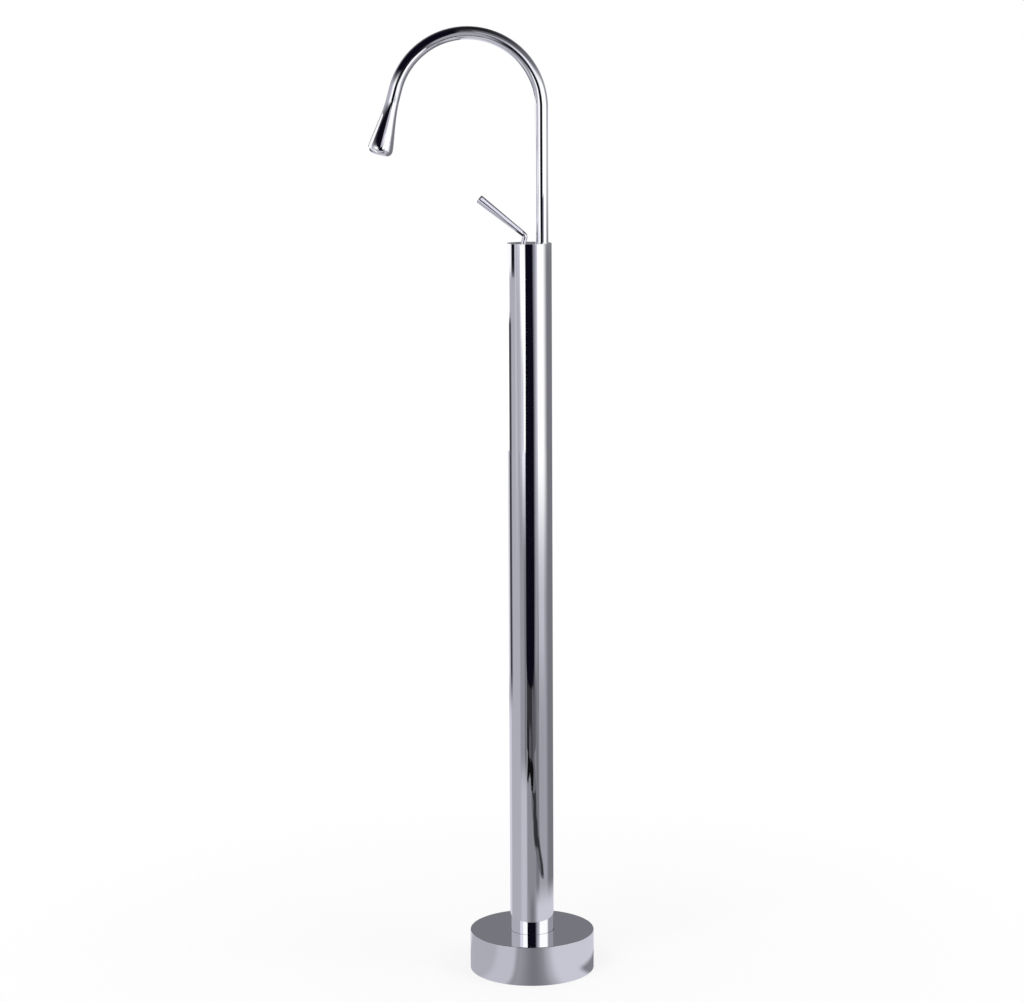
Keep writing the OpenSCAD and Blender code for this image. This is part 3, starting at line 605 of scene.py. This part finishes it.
def braid_finish(name, base, centre_y, hose_r):
    """Woven steel wire: two sets of strands that cross over and under round the hose, with painted shade darkening
    the grooves between the strands
    """
    made, sh = material(name)
    x, y, z = sh.parts(sh.here())
    strand = 1.1 * MM
    wires_in_strand = 6.0
    turns = round(2 * pi * hose_r / strand)
    around = (y - centre_y).arc_tangent(x) * (turns / 2)
    along_z = z * (pi / strand)
    left, right = around + along_z, around - along_z
    left_rise, right_rise = left.sine(), right.sine()
    over = sh.step(left_rise * right_rise, -0.2, 0.2)
    under = 1 - over
    wires = (left * wires_in_strand).sine() * over + (right * wires_in_strand).sine() * under
    crown = left_rise.absolute() * over + right_rise.absolute() * under
    sh.surface({
        # Painted shade: the colour darkens to about a third in the grooves between the strands' crowns
        "Base Color": sh.blend(crown, tint(base, 0.35), base),
        "Metallic": 1.0,
        "Roughness": 0.42 - crown * 0.14,
        "Normal": sh.bump(crown * 0.8 + wires * 0.12, 0.25 * MM),
    })
    return made


# The pieces

class MIXER_OT_column(bpy.types.Operator):
    """Build the column tube with its rounded top edge"""
    bl_idname = "mixer.column"
    bl_label = "Column"

    def execute(self, context):
        s = sizes().column
        inside = s.column_r - s.column_wall
        piece = lathe("column_shell", rounded([
            (inside, s.column_foot, 0), (s.column_r, s.column_foot, 0),
            (s.column_r, s.column_top, s.top_edge), (inside, s.column_top, 0)]),
            wrap=True, count=COLUMN_POINTS)
        place_piece(piece, "column", "column_chrome", (2400, 2400, 60), "column_tube")
        return {"FINISHED"}


class MIXER_OT_cap(bpy.types.Operator):
    """Build the flush top cap with the riser's hole, the lever's hole and the ring's groove"""
    bl_idname = "mixer.cap"
    bl_label = "Top cap"

    def execute(self, context):
        s, sp, lv = sizes().column, sizes().spout, sizes().lever
        low = s.column_top - s.cap_t
        mid = s.column_top - s.cap_t / 2
        half = s.ring_groove_z / 2
        deep = s.cap_r - s.ring_groove_d
        piece = lathe("cap_disc", [(0, low)] + rounded([
            (s.cap_r, low, 0), (s.cap_r, mid - half, 0), (deep, mid - half, 0), (deep, mid + half, 0),
            (s.cap_r, mid + half, 0), (s.cap_r, s.column_top, s.top_edge),
            (0, s.column_top, 0)]), count=COLUMN_POINTS)
        riser = rod("riser_cutter", upright(sp.riser_x, 0, s.column_top), sp.tube_r + s.riser_gap,
                    -2 * s.cap_t, CUT_OVER, BROKEN_EDGE)
        stub = rod("stub_cutter", upright(PIVOT.x, 0, s.column_top), lv.rod_r + s.lever_gap,
                   -2 * s.cap_t, CUT_OVER, BROKEN_EDGE)
        turns = [pi * k / BALL_STEPS for k in range(BALL_STEPS + 1)]
        arc = [(s.ball_seat_r * sin(a), -s.ball_seat_r * cos(a)) for a in turns]
        cut(piece, [riser, stub, lathe("ball_cutter", arc, upright(*PIVOT))])
        place_piece(piece, "column", "cap_chrome", (900, 900, 900), "top_cap")
        return {"FINISHED"}


class MIXER_OT_cover(bpy.types.Operator):
    """Build the base cover, a plain cup turned over the floor flange"""
    bl_idname = "mixer.cover"
    bl_label = "Base cover"

    def execute(self, context):
        s = sizes().column
        hole = s.column_r + s.cover_gap
        collar = hole + s.collar_w
        inside = s.cover_r - s.cover_wall
        under = s.cover_h - s.cover_top_t
        foot = under - s.collar_h
        middle = under - s.collar_h / 2
        half = s.seal_r + SEAL_SLACK
        deep = s.column_r + s.seal_gap + 2 * s.seal_r + SEAL_SLACK
        piece = lathe("foot_cover", rounded([
            (inside, 0, 0), (s.cover_r, 0, WIDE_EDGE),
            (s.cover_r, s.cover_h, s.cover_edge), (hole, s.cover_h, SMALL_EDGE),
            (hole, middle + half, 0), (deep, middle + half, 0), (deep, middle - half, 0),
            (hole, middle - half, 0), (hole, foot, 0), (collar, foot, 0), (collar, under, 0),
            (inside, under, 0)]), wrap=True, count=COVER_POINTS)
        place_piece(piece, "base_cover", "cover_chrome", (700, 700, 900), "base_cover")
        return {"FINISHED"}


def arch_frame(turn):
    """Frame on the spout's centre line at a turn of the arch, +Z along the tube to the outlet"""
    s = sizes().spout
    centre_z = TUBE_HIGH.z - s.arch_r - s.tube_r
    return (upright(s.riser_x - s.arch_r, 0, centre_z) @ Matrix.Rotation(-turn, 4, "Y")
            @ upright(s.arch_r, 0, 0))


def outlet_frame():
    """Frame at the outlet's face, +Z back up the tube"""
    s = sizes().spout
    return arch_frame(s.arch_turn) @ along(s.limb_l) @ Matrix.Rotation(pi, 4, "Y")


class MIXER_OT_spout(bpy.types.Operator):
    """Build the swan-neck tube: riser, arch and the start of the straight limb"""
    bl_idname = "mixer.spout"
    bl_label = "Spout tube"

    def execute(self, context):
        s = sizes().spout
        start = arch_frame(0)
        riser_l = start.translation.z - s.riser_foot
        stations = [start @ along(-riser_l * (1 - k / RISER_STEPS)) for k in range(RISER_STEPS)]
        stations += [arch_frame(s.arch_turn * k / ARCH_STEPS) for k in range(ARCH_STEPS + 1)]
        stations.append(arch_frame(s.arch_turn) @ along(s.limb_l - s.drop_l))
        outer = [ring_at(f, s.tube_r) for f in stations]
        inner = [ring_at(f, s.tube_r - s.tube_wall) for f in reversed(stations)]
        piece = skin("swan_neck", outer + inner, wrap=True)
        place_piece(piece, "spout", "spout_chrome", (1500, 1500, 260), "spout_tube")
        return {"FINISHED"}


def curve_point(a, b, c, d, u):
    """Point of a cubic curve"""
    return a * (1 - u) ** 3 + 3 * b * u * (1 - u) ** 2 + 3 * c * u * u * (1 - u) + d * u ** 3


class MIXER_OT_drop(bpy.types.Operator):
    """Build the drop-shaped outlet with its rounded rim"""
    bl_idname = "mixer.drop"
    bl_label = "Drop"

    def execute(self, context):
        s = sizes().spout
        rim = [(s.outlet_r + (s.drop_r - s.outlet_r) * sin(a), s.rim_round * (1 - cos(a)))
               for a in [pi / 2 * k / RIM_STEPS for k in range(RIM_STEPS)]]
        wide = Vector((s.drop_r, s.rim_round))
        swell = Vector((s.drop_r, s.rim_round + s.drop_l * s.drop_swell))
        taper = Vector((s.tube_r, s.drop_l * s.drop_taper))
        neck = Vector((s.tube_r, s.drop_l))
        flank = [tuple(curve_point(wide, swell, taper, neck, k / FLANK_STEPS))
                 for k in range(FLANK_STEPS + 1)]
        end = s.drop_l + s.spigot_l
        inside = [(s.spigot_r, s.drop_l), (s.spigot_r, end), (s.drop_bore_r, end),
                  (s.drop_bore_r, s.aerator_seat), (s.aerator_bore_r, s.aerator_seat),
                  (s.aerator_bore_r, WIDE_EDGE), (s.aerator_bore_r + WIDE_EDGE, 0)]
        piece = lathe("outlet_drop", rim + flank + inside, outlet_frame(), wrap=True, count=OUTLET_POINTS)
        place_piece(piece, "spout", "drop_chrome", (1500, 1500, 260), "spout_drop")
        return {"FINISHED"}


class MIXER_OT_aerator(bpy.types.Operator):
    """Build the aerator's housing with its key notches"""
    bl_idname = "mixer.aerator"
    bl_label = "Aerator"

    def execute(self, context):
        s = sizes().spout
        bore = s.aerator_r - s.aerator_wall
        lip = bore - s.aerator_lip_w
        place = outlet_frame() @ along(s.aerator_recess)
        piece = lathe("aerator_ring", rounded([
            (lip, 0, SMALL_EDGE), (s.aerator_r, 0, SMALL_EDGE), (s.aerator_r, s.aerator_l, 0),
            (bore, s.aerator_l, 0), (bore, s.aerator_lip_t, 0), (lip, s.aerator_lip_t, 0)]),
            place, wrap=True, count=OUTLET_POINTS)
        half, end = s.notch_w / 2, s.aerator_r + CUT_PAST
        bar = skin("notch_cutter", [[place @ Vector((x, y, z)) for x, y in oblong(-half, half, -end, end)]
                                    for z in (-CUT_PAST, s.notch_depth)])
        close_ends(bar)
        cut(piece, [bar])
        place_piece(piece, "spout", "aerator_chrome", (900, 900, 900), "aerator_housing")
        return {"FINISHED"}


def close_ends(piece):
    """Fills the open ends of a bar"""
    bm = bmesh.new()
    bm.from_mesh(piece.data)
    bmesh.ops.holes_fill(bm, edges=bm.edges, sides=0)
    bmesh.ops.recalc_face_normals(bm, faces=bm.faces)
    bm.to_mesh(piece.data)
    bm.free()


class MIXER_OT_lever(bpy.types.Operator):
    """Build the lever: stub, knee and tapered rod in one bar, with the grub screw's hole"""
    bl_idname = "mixer.lever"
    bl_label = "Lever"

    def execute(self, context):
        s = sizes().lever
        ball = upright(*PIVOT) @ Matrix.Rotation(s.stub_lean, 4, "Y")
        turn = s.stub_lean + pi / 2 - s.handle_rise
        tangent = s.knee_r * tan(turn / 2)
        knee_up = (sizes().column.column_top - PIVOT.z + s.knee_h) / cos(s.stub_lean)
        bend_at = knee_up - tangent
        run = s.handle_l - tangent
        tip_foot = run - s.tip_round
        slope = (s.tip_r - s.rod_r) / run
        bore_end = s.stub_foot + s.pin_l

        def bend(a):
            return (ball @ upright(-s.knee_r, 0, bend_at) @ Matrix.Rotation(-a, 4, "Y")
                    @ upright(s.knee_r, 0, 0))

        def up(z):
            return ball @ along(z)

        loops = [(up(bore_end), 0), (up(bore_end), s.pin_r), (up(s.stub_foot), s.pin_r),
                 (up(s.stub_foot), s.rod_r), (up(bend_at - BEND_LEAD), s.rod_r)]
        loops += [(bend(turn * k / KNEE_STEPS), s.rod_r) for k in range(KNEE_STEPS + 1)]
        on_rod = [tip_foot * k / HANDLE_STEPS for k in range(1, HANDLE_STEPS)] + [tip_foot - SUPPORT]
        loops += [(bend(turn) @ along(z), s.rod_r + slope * z) for z in on_rod]
        for k in range(TIP_STEPS + 1):
            a = pi / 2 * k / TIP_STEPS
            loops.append((bend(turn) @ along(tip_foot + s.tip_round * sin(a)),
                          s.tip_r - s.tip_round + s.tip_round * cos(a)))
        loops.append((bend(turn) @ along(run), 0))
        piece = skin("lever_rod", [ring_at(f, r) for f, r in loops])
        hole = rod("grub_cutter", up(s.grub_up) @ Matrix.Rotation(-pi / 2, 4, "X"),
                   s.grub_r, 0, s.rod_r + CUT_PAST, count=HOLE_POINTS)
        cut(piece, [hole])
        place_piece(piece, "lever", "lever_chrome", (1500, 1500, 300), "lever_handle")
        return {"FINISHED"}


class MIXER_OT_fittings(bpy.types.Operator):
    """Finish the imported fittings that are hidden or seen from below"""
    bl_idname = "mixer.fittings"
    bl_label = "Fittings"

    def execute(self, context):
        finish = sizes().finish
        brass, steel = tuple(finish.brass), tuple(finish.steel)
        made = {
            "chrome": chrome_finish("fitting_chrome", (900, 900, 900)),
            "brass": turned_finish("turned_brass", brass, rough=0.20),
            "stainless": turned_finish("turned_steel", steel, rough=0.26),
        }
        for slot, name, base, rough, fineness, depth in (
                ("rubber", "seal_rubber", finish.rubber, 0.62, 3000.0, 0.03 * MM),
                ("ceramic", "lapped_ceramic", finish.ceramic, 0.14, 6000.0, 0.004 * MM),
                ("nylon", "moulded_nylon", finish.nylon, 0.45, 4000.0, 0.02 * MM),
                ("acetal", "moulded_acetal", finish.acetal, 0.34, 2500.0, 0.01 * MM)):
            made[slot] = moulded_finish(name, tuple(base), rough, fineness, depth)
        slots = {s["node"]: s["material_slot"] for s in frame["record"]["subparts"]}
        for name, obj in frame["nodes"].items():
            slot = slots[name]
            if slot == "steel_braid":
                low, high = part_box(name)
                own = braid_finish(name + "_braid", steel, (low.y + high.y) / 2, (high.y - low.y) / 2)
            else:
                own = made[slot]
            for holder in obj.material_slots:
                holder.material = own
        return {"FINISHED"}


# The studio

NAVY = 12  # The darkest tone
WHITE = 250  # The lowest tone without a tint
NAVY_TINT = (1.0, 0.86, 2.2)
GREY_TINT = (0.975, 0.968, 1.09)
GIVEN_BACK = 0.9  # Share of the light that the chrome gives back
SCREEN_Y = -1.1  # Plane of the upright screens
SCREEN_EDGE = 0.20  # Where the black screen ends and the fading one starts
SCREEN_FOOT = 0.125  # Height of the black screen's grey foot
CARD_START = 0.012  # Where the plane of the stripe and inner cards leaves the riser, along X
CARD_X, CARD_Y = -0.866, -0.5  # Way of that plane
MAT_R = 4.95
DOME_LOW, DOME_STEP = -12, 3  # Degrees from its centre to its foot, and from ring to ring
LAMP_SIZE = 1.8
LAMP_AIM = Vector((0, 0, 0.6))


def level(tone):
    """Light that shows in the chrome as that tone, from 0 to 255, a little bluer when dark"""
    lean = NAVY_TINT if tone <= NAVY else GREY_TINT if tone < WHITE else (1, 1, 1)
    value = tone / 255
    value = value / 12.92 if value <= 0.04045 else ((value + 0.055) / 1.055) ** 2.4
    return tuple(value / GIVEN_BACK * k for k in lean)


def reflected_only(obj):
    """Leaves an object to the chrome's reflections alone"""
    obj.visible_camera = False
    obj.visible_diffuse = False
    obj.visible_shadow = False
    obj.visible_volume_scatter = False


def glow(obj, name, shade):
    """Makes a stage object give light of one tone, or of a function's colours, to reflections alone"""
    made, sh = material(name)
    sh.output(sh.light(shade(sh) if callable(shade) else level(shade)))
    obj.data.materials.append(made)
    reflected_only(obj)


def bearing(x, y):
    """Degrees to the right of the way from the axis to the camera"""
    return x.arc_tangent(0 - y) * DEGREES


def dome_colour(sh):
    """White studio that darkens overhead, with grey walls and a black canopy over the left"""
    step, band = sh.step, sh.band
    x, y, z = sh.parts(sh.here())
    side = bearing(x, y)
    up = (z / reach(x, y, z)).arc_sine() * DEGREES
    over = z.arc_tangent(x) * DEGREES  # From the right horizon over the top
    ahead = 1 - step(side.absolute(), 105, 135)
    behind = step(side.absolute(), 150, 160)
    return sh.layers(level(262), [
        (step(up, 18, 36), 190),
        (step(side, 84, 100) * band(up, -2, 45, 4), 154),
        (step(side, 66, 104) * (1 - step(up, -5, 1)), 118),
        (band(side, -150, -50, 3) * band(up, 2, 40, 6), 178),
        (band(side, -126, -50, 3) * (1 - step(up, 5, 9)), 172),
        (band(side, -80, -71, 3) * (1 - step(up, 3, 7)), 192),
        (band(side, -66, -50, 3) * band(up, -4, 18, 3), 226),
        (band(side, -53, -43, 3) * (1 - step(up, -9, -4.5)), 182),
        (band(side, -43, -33, 3) * (1 - step(up, -9.5, -6.5)), 200),
        (step(0 - side, 132, 146) * band(up, 4, 40, 4), 132),
        (step(0 - side, 106, 112) * band(up, -5.2, 2, 0.3), 250),
        (band(side, -135, -111, 4) * band(up, -13, -6.8, 0.3), 62),
        (band(side, -104, -83, 2) * band(up, -5.3, -3, 0.15), 12),
        (behind * band(up, 0, 60, 1), 118),
        (band(side, -20, 26, 6) * step(up, 4, 9), 176),
        (step(up, 12, 37), 104),
        (band(side, 11, 32, 3) * band(up, 9, 24, 3), 244),
        (step(up, 38, 61), 50),
        (band(over, 96, 157, 7) * ahead * step(up, 3, 7), NAVY),
        (band(side, -25.5, 17, 3) * band(up, -4, 7, 2), NAVY),
        (band(side, -19, 17, 3) * band(up, -8, -3, 1), NAVY),
        (step(up, 62, 80), 24),
    ])


def mat_colour(sh):
    """Grey floor before the object, in wedges round its foot that brighten far out"""
    step, band = sh.step, sh.band
    x, y, _ = sh.parts(sh.here())
    side, out = bearing(x, y), reach(x, y)
    near = 1 - step(out, 0.85, 1.15)
    foot = 1 - step(out, 0.28, 0.42)
    far = step(out, 2.3, 5.3)
    return sh.layers(level(172), [
        (band(side, -80, -71, 3) * far, 192),
        (band(side, -58, -18, 5) * (1 - near), 146),
        (band(side, -34, -18, 3) * (1 - near) * (1 - step(out, 2.4, 4.0)), 112),
        (band(side, -56, -20, 7) * near, 188),
        (band(side, -42, -26, 3) * step(out, 3.0, 5.1), 242),
        (band(side, -53, -43, 3) * step(out, 3.2, 5.0), 190),
        (band(side, -24, 20, 5), 138),
        (band(side, 20, 42, 6), 118),
        (band(side, 42, 76, 5), 157),
        (band(side, 42, 76, 5) * step(out, 1.2, 2.4), 190),
        (band(side, 20, 120, 5) * step(out, 2.3, 4.9), 258),
        (step(side, 67, 106), 117),
        (step(side, 8, 36) * foot, 200),
        (step(side, -26, -17) * (1 - step(side, 4, 28)) * foot, 147),
        (step(side, -20, 1) * (1 - step(side, 3, 22)) * foot, 118),
        (step(side, 60, 74) * (1 - step(out, 0.098, 0.122)), 126),
        (step(0 - side, 122, 130) * (1 - step(out, 1.3, 1.7)), 205),
        (step(0 - side, 108, 116) * band(out, 1.6, 5, 0.2), 62),
        (step(0 - side, 133, 141) * band(out, 1.6, 5, 0.2), 215),
    ])


def fading_colour(sh):
    """Grey screen that brightens to its right"""
    x, _, z = sh.parts(sh.here())
    late = sh.band(z, 0.15, 0.72, 0.15) * 0.08 + 0.05
    return sh.layers(level(NAVY), [
        (sh.step(x - late, 0.19, 0.42), 140), (sh.step(x, 0.45, 0.92), 206), (sh.step(x, 0.86, 0.99), 255),
        (sh.step(x, 0.40, 0.80) * (1 - sh.step(z, 0.05, 0.62)), 130),
        ((1 - sh.step(x, 0.24, 1.0)) * (1 - sh.step(z, 0.08, 0.16)), 88),
    ])


def foot_colour(sh):
    """Greys at the black screen's foot, with a black line"""
    x, _, z = sh.parts(sh.here())
    low = 1 - sh.step(z, 0.04, 0.07)
    return sh.layers(level(92), [
        (sh.band(x, -0.46, 0.10, 0.03), 50),
        (sh.band(x, -0.26, 0.01, 0.03) * low, 86),
        (sh.band(x, 0.01, 0.14, 0.03) * low, 60),
        (sh.band(x, -0.46, -0.24, 0.02) * low, 22),
    ])


def panel_light():
    """Grey panel that darkens upwards and is clear at both sides"""
    made, sh = material("panel_light")
    x, _, z = sh.parts(sh.here())
    shade = sh.layers(level(158), [
        (sh.step(z, 1.12, 1.24), 130), (sh.step(z, 1.20, 1.36), 80), (sh.step(z, 1.32, 1.50), 36)])
    clear = sh.node("ShaderNodeBsdfTransparent").outputs[0]
    sh.output(sh.mixed(sh.band(x, -0.100, -0.060, 0.008), clear, sh.light(shade)))
    return made


def beside_riser(r, z):
    """Place on the upright plane of two cards near the riser"""
    return CARD_START + CARD_X * r, CARD_Y * r, z


# What lies over the mat, dark sheets that paint a dark patch, a dark streak and the streak's painted shade into
# the chrome's reflections: name, light's name, tone, height and (x, y) corners
ON_MAT = (
    ("mat_knot", "knot_dark", 14, 2.0 * MM, (
        (-0.37, -1.115), (-0.36, -0.99), (-0.385, -0.90), (-0.30, -0.90), (-0.225, -0.955),
        (-0.135, -1.005), (-0.07, -0.975), (-0.04, -0.92), (0.075, -0.885), (0.15, -0.925),
        (0.20, -0.995), (0.21, -1.035), (0.11, -1.09), (0.08, -1.115))),
    ("mat_cable", "cable_dark", 50, 1.5 * MM, (
        (0.33, -0.85), (0.34, -0.775), (0.31, -0.69), (0.36, -0.63), (0.35, -0.555),
        (0.385, -0.49), (0.39, -0.435), (0.395, -0.395), (0.41, -0.335), (0.415, -0.285),
        (0.41, -0.23), (0.39, -0.20), (0.345, -0.28), (0.35, -0.32), (0.355, -0.355),
        (0.345, -0.40), (0.335, -0.45), (0.30, -0.505), (0.18, -0.565), (0.13, -0.64),
        (0.14, -0.71), (0.11, -0.75), (0.14, -0.82), (0.10, -0.86), (0.03, -0.90))),
    ("mat_shade", "shade_grey", 104, 1.0 * MM, (
        (0.10, -1.095), (0.34, -1.095), (0.37, -0.88), (0.38, -0.80), (0.38, -0.70),
        (0.40, -0.60), (0.42, -0.50), (0.43, -0.38), (0.44, -0.24), (0.39, -0.17),
        (0.33, -0.28), (0.29, -0.37), (0.24, -0.45), (0.21, -0.52), (0.12, -0.61),
        (0.07, -0.72), (0.0, -0.83), (0.0, -0.95))),
)


class MIXER_OT_stage(bpy.types.Operator):
    """Build the floor, the dome and screens that the chrome reflects, the lamps and the camera"""
    bl_idname = "mixer.stage"
    bl_label = "Stage"

    def execute(self, context):
        self.floor()
        self.dome()
        self.screens()
        self.mat()
        self.cards()
        self.lamps()
        self.world()
        self.camera()
        context.scene.view_settings.view_transform = "Standard"
        return {"FINISHED"}

    def floor(self):
        """Plain pale floor that reads as white and keeps the object's shadow"""
        half = sizes().studio.floor_half
        floor = sheet("floor", [(x, y, 0) for x, y in oblong(-half, half, -half, half)])
        made, sh = material("floor_white")
        at = sh.here()
        x, y, _ = sh.parts(at)
        far = sh.step(reach(x, y), 0.12, 0.9)
        pale = sh.blend(sh.noise(at, scale=900.0), (0.86,) * 3, (0.9,) * 3)
        plain = sh.node("ShaderNodeBsdfDiffuse", None, {"Color": pale}).outputs[0]
        sh.output(sh.mixed(sh.seen() * (0.80 + far * 0.20), plain, sh.light((1, 1, 1))))
        floor.data.materials.append(made)

    def dome(self):
        """Round studio that only the chrome sees"""
        s = sizes().studio
        rises = [radians(h) for h in range(DOME_LOW, 90, DOME_STEP)]
        arc = [(s.dome_r * cos(a), s.dome_r * sin(a)) for a in rises]
        dome = lathe("dome", arc + [(0, s.dome_r)])
        dome.location = (0, 0, s.dome_z)
        dome.data.shade_smooth()
        glow(dome, "dome_light", dome_colour)

    def screens(self):
        """Upright screens before the object"""
        for name, light_name, shade, corners in (
            ("front_screen", "screen_black", NAVY, (
                (-0.50, 0.15), (-0.44, SCREEN_FOOT), (SCREEN_EDGE, SCREEN_FOOT), (SCREEN_EDGE, 0.94),
                (0.12, 1.02), (-0.36, 1.02), (-0.425, 0.94), (-0.43, 0.70), (-0.46, 0.56),
                (-0.50, 0.42))),
            ("screen_foot", "foot_grey", foot_colour, oblong(-0.45, SCREEN_EDGE, 0, SCREEN_FOOT)),
            ("fading_screen", "screen_fading", fading_colour, oblong(SCREEN_EDGE, 1.0, 0, 0.93)),
        ):
            glow(sheet(name, [(x, SCREEN_Y, z) for x, z in corners]), light_name, shade)

    def mat(self):
        """Grey mat, and close over it a dark patch, a dark streak and the streak's painted shade, all seen only in
        reflections
        """
        glow(lathe("floor_mat", [(0, 0.5 * MM), (MAT_R, 0.5 * MM)]), "mat_light", mat_colour)
        for name, light_name, tone, height, corners in ON_MAT:
            glow(sheet(name, [(x, y, height) for x, y in corners]), light_name, tone)

    def cards(self):
        """Light cards beside the lever, the arch and the drop, and the panel before the arch"""
        for name, light_name, tone, place, corners in (
            ("lever_card", "card_light", 226, lambda x, z: (x, -0.065, z), (
                (-0.030, 0.923), (-0.088, 0.968), (-0.150, 0.917), (-0.060, 0.914))),
            ("stripe_card", "stripe_light", 226, beside_riser, (
                (0.0105, 0.948), (0.013, 0.975), (0.026, 1.045), (0.055, 1.020), (0.080, 0.990),
                (0.044, 0.945), (0.024, 0.929))),
            ("inner_card", "inner_light", 255, beside_riser, (
                (0.094, 1.058), (0.094, 1.071), (0.132, 1.124), (0.150, 1.122), (0.160, 1.098),
                (0.150, 1.088))),
            ("flank_card", "flank_light", 250, lambda y, z: (-0.225, y, z), (
                (-0.050, 0.945), (-0.022, 0.945), (-0.022, 1.010), (-0.006, 1.030), (0.040, 1.052),
                (0.040, 1.098), (-0.006, 1.098), (-0.010, 1.034), (-0.050, 1.010))),
            ("rim_card", "rim_light", 190, lambda x, z: (x, -0.10, z),
                oblong(-0.250, -0.130, 0.926, 0.985)),
        ):
            glow(sheet(name, [place(*corner) for corner in corners]), light_name, tone)
        bent = ((-0.06, 1.12), (-0.30, 1.12), (-0.30, 1.50))
        panel = flat("arch_panel", [(x, y, z) for y, z in bent for x in (-0.12, -0.04)],
                     [(0, 1, 3, 2), (2, 3, 5, 4)])
        panel.data.materials.append(panel_light())
        reflected_only(panel)

    def lamps(self):
        """Two broad soft lamps for the floor's shadow and the dull fittings"""
        for name, place, power in (("key_lamp", (-1.6, -2.2, 3.0), 60),
                                   ("fill_lamp", (2.2, -1.0, 2.6), 32)):
            data = bpy.data.lights.new(name, "AREA")
            data.energy = power
            data.size = LAMP_SIZE
            lamp = add(name, data)
            lamp.location = place
            lamp.rotation_euler = (LAMP_AIM - Vector(place)).to_track_quat("-Z", "Y").to_euler()
            lamp.visible_glossy = False

    def world(self):
        """White to the camera and in gloss and glass, softer as a light"""
        world = bpy.data.worlds.new("studio")
        bpy.context.scene.world = world
        sh = Shader(world)
        soft, white = [sh.node("ShaderNodeBackground", None, {"Color": (1, 1, 1), "Strength": strength})
                       for strength in (0.55, 1.0)]
        sh.output(sh.mixed(sh.seen(), soft.outputs[0], white.outputs[0]), "ShaderNodeOutputWorld")

    def camera(self):
        """Camera at the photograph's place"""
        s = sizes().studio
        data = bpy.data.cameras.new("camera")
        data.sensor_fit = "HORIZONTAL"
        data.sensor_width = 36.0
        data.lens = s.camera_lens
        data.clip_end = 100.0
        camera = add("camera", data)
        camera.matrix_world = (upright(s.camera_x, s.camera_y, s.camera_z)
                               @ Matrix.Rotation(pi / 2 - s.camera_pitch, 4, "X")
                               @ Matrix.Rotation(s.camera_roll, 4, "Z"))
        bpy.context.scene.camera = camera


class MIXER_PT_panel(bpy.types.Panel):
    """Lists the mixer's pieces"""
    bl_idname = "MIXER_PT_panel"
    bl_label = "Basin Mixer"
    bl_space_type = "VIEW_3D"
    bl_region_type = "UI"
    bl_category = "Mixer"

    def draw(self, context):
        for step in STEPS:
            self.layout.operator(step.bl_idname)


STEPS = (MIXER_OT_stage, MIXER_OT_fittings, MIXER_OT_column, MIXER_OT_cap, MIXER_OT_cover,
         MIXER_OT_spout, MIXER_OT_drop, MIXER_OT_aerator, MIXER_OT_lever)
CLASSES = (ColumnSizes, SpoutSizes, LeverSizes, FinishColours, StudioSizes, MixerSettings,
           *STEPS, MIXER_PT_panel)


def register():
    """Adds the classes and the settings"""
    for cls in CLASSES:
        bpy.utils.register_class(cls)
    bpy.types.Scene.mixer = bpy.props.PointerProperty(type=MixerSettings, name="Mixer")


def unregister():
    """Takes both away again"""
    del bpy.types.Scene.mixer
    for cls in reversed(CLASSES):
        bpy.utils.unregister_class(cls)


def main():
    """Builds the stage and the pieces"""
    register()
    bpy.ops.mixer.stage()
    bpy.ops.mixer.fittings()
    bpy.ops.mixer.column()
    bpy.ops.mixer.cap()
    bpy.ops.mixer.cover()
    bpy.ops.mixer.spout()
    bpy.ops.mixer.drop()
    bpy.ops.mixer.aerator()
    bpy.ops.mixer.lever()


if __name__ == "__main__":
    main()
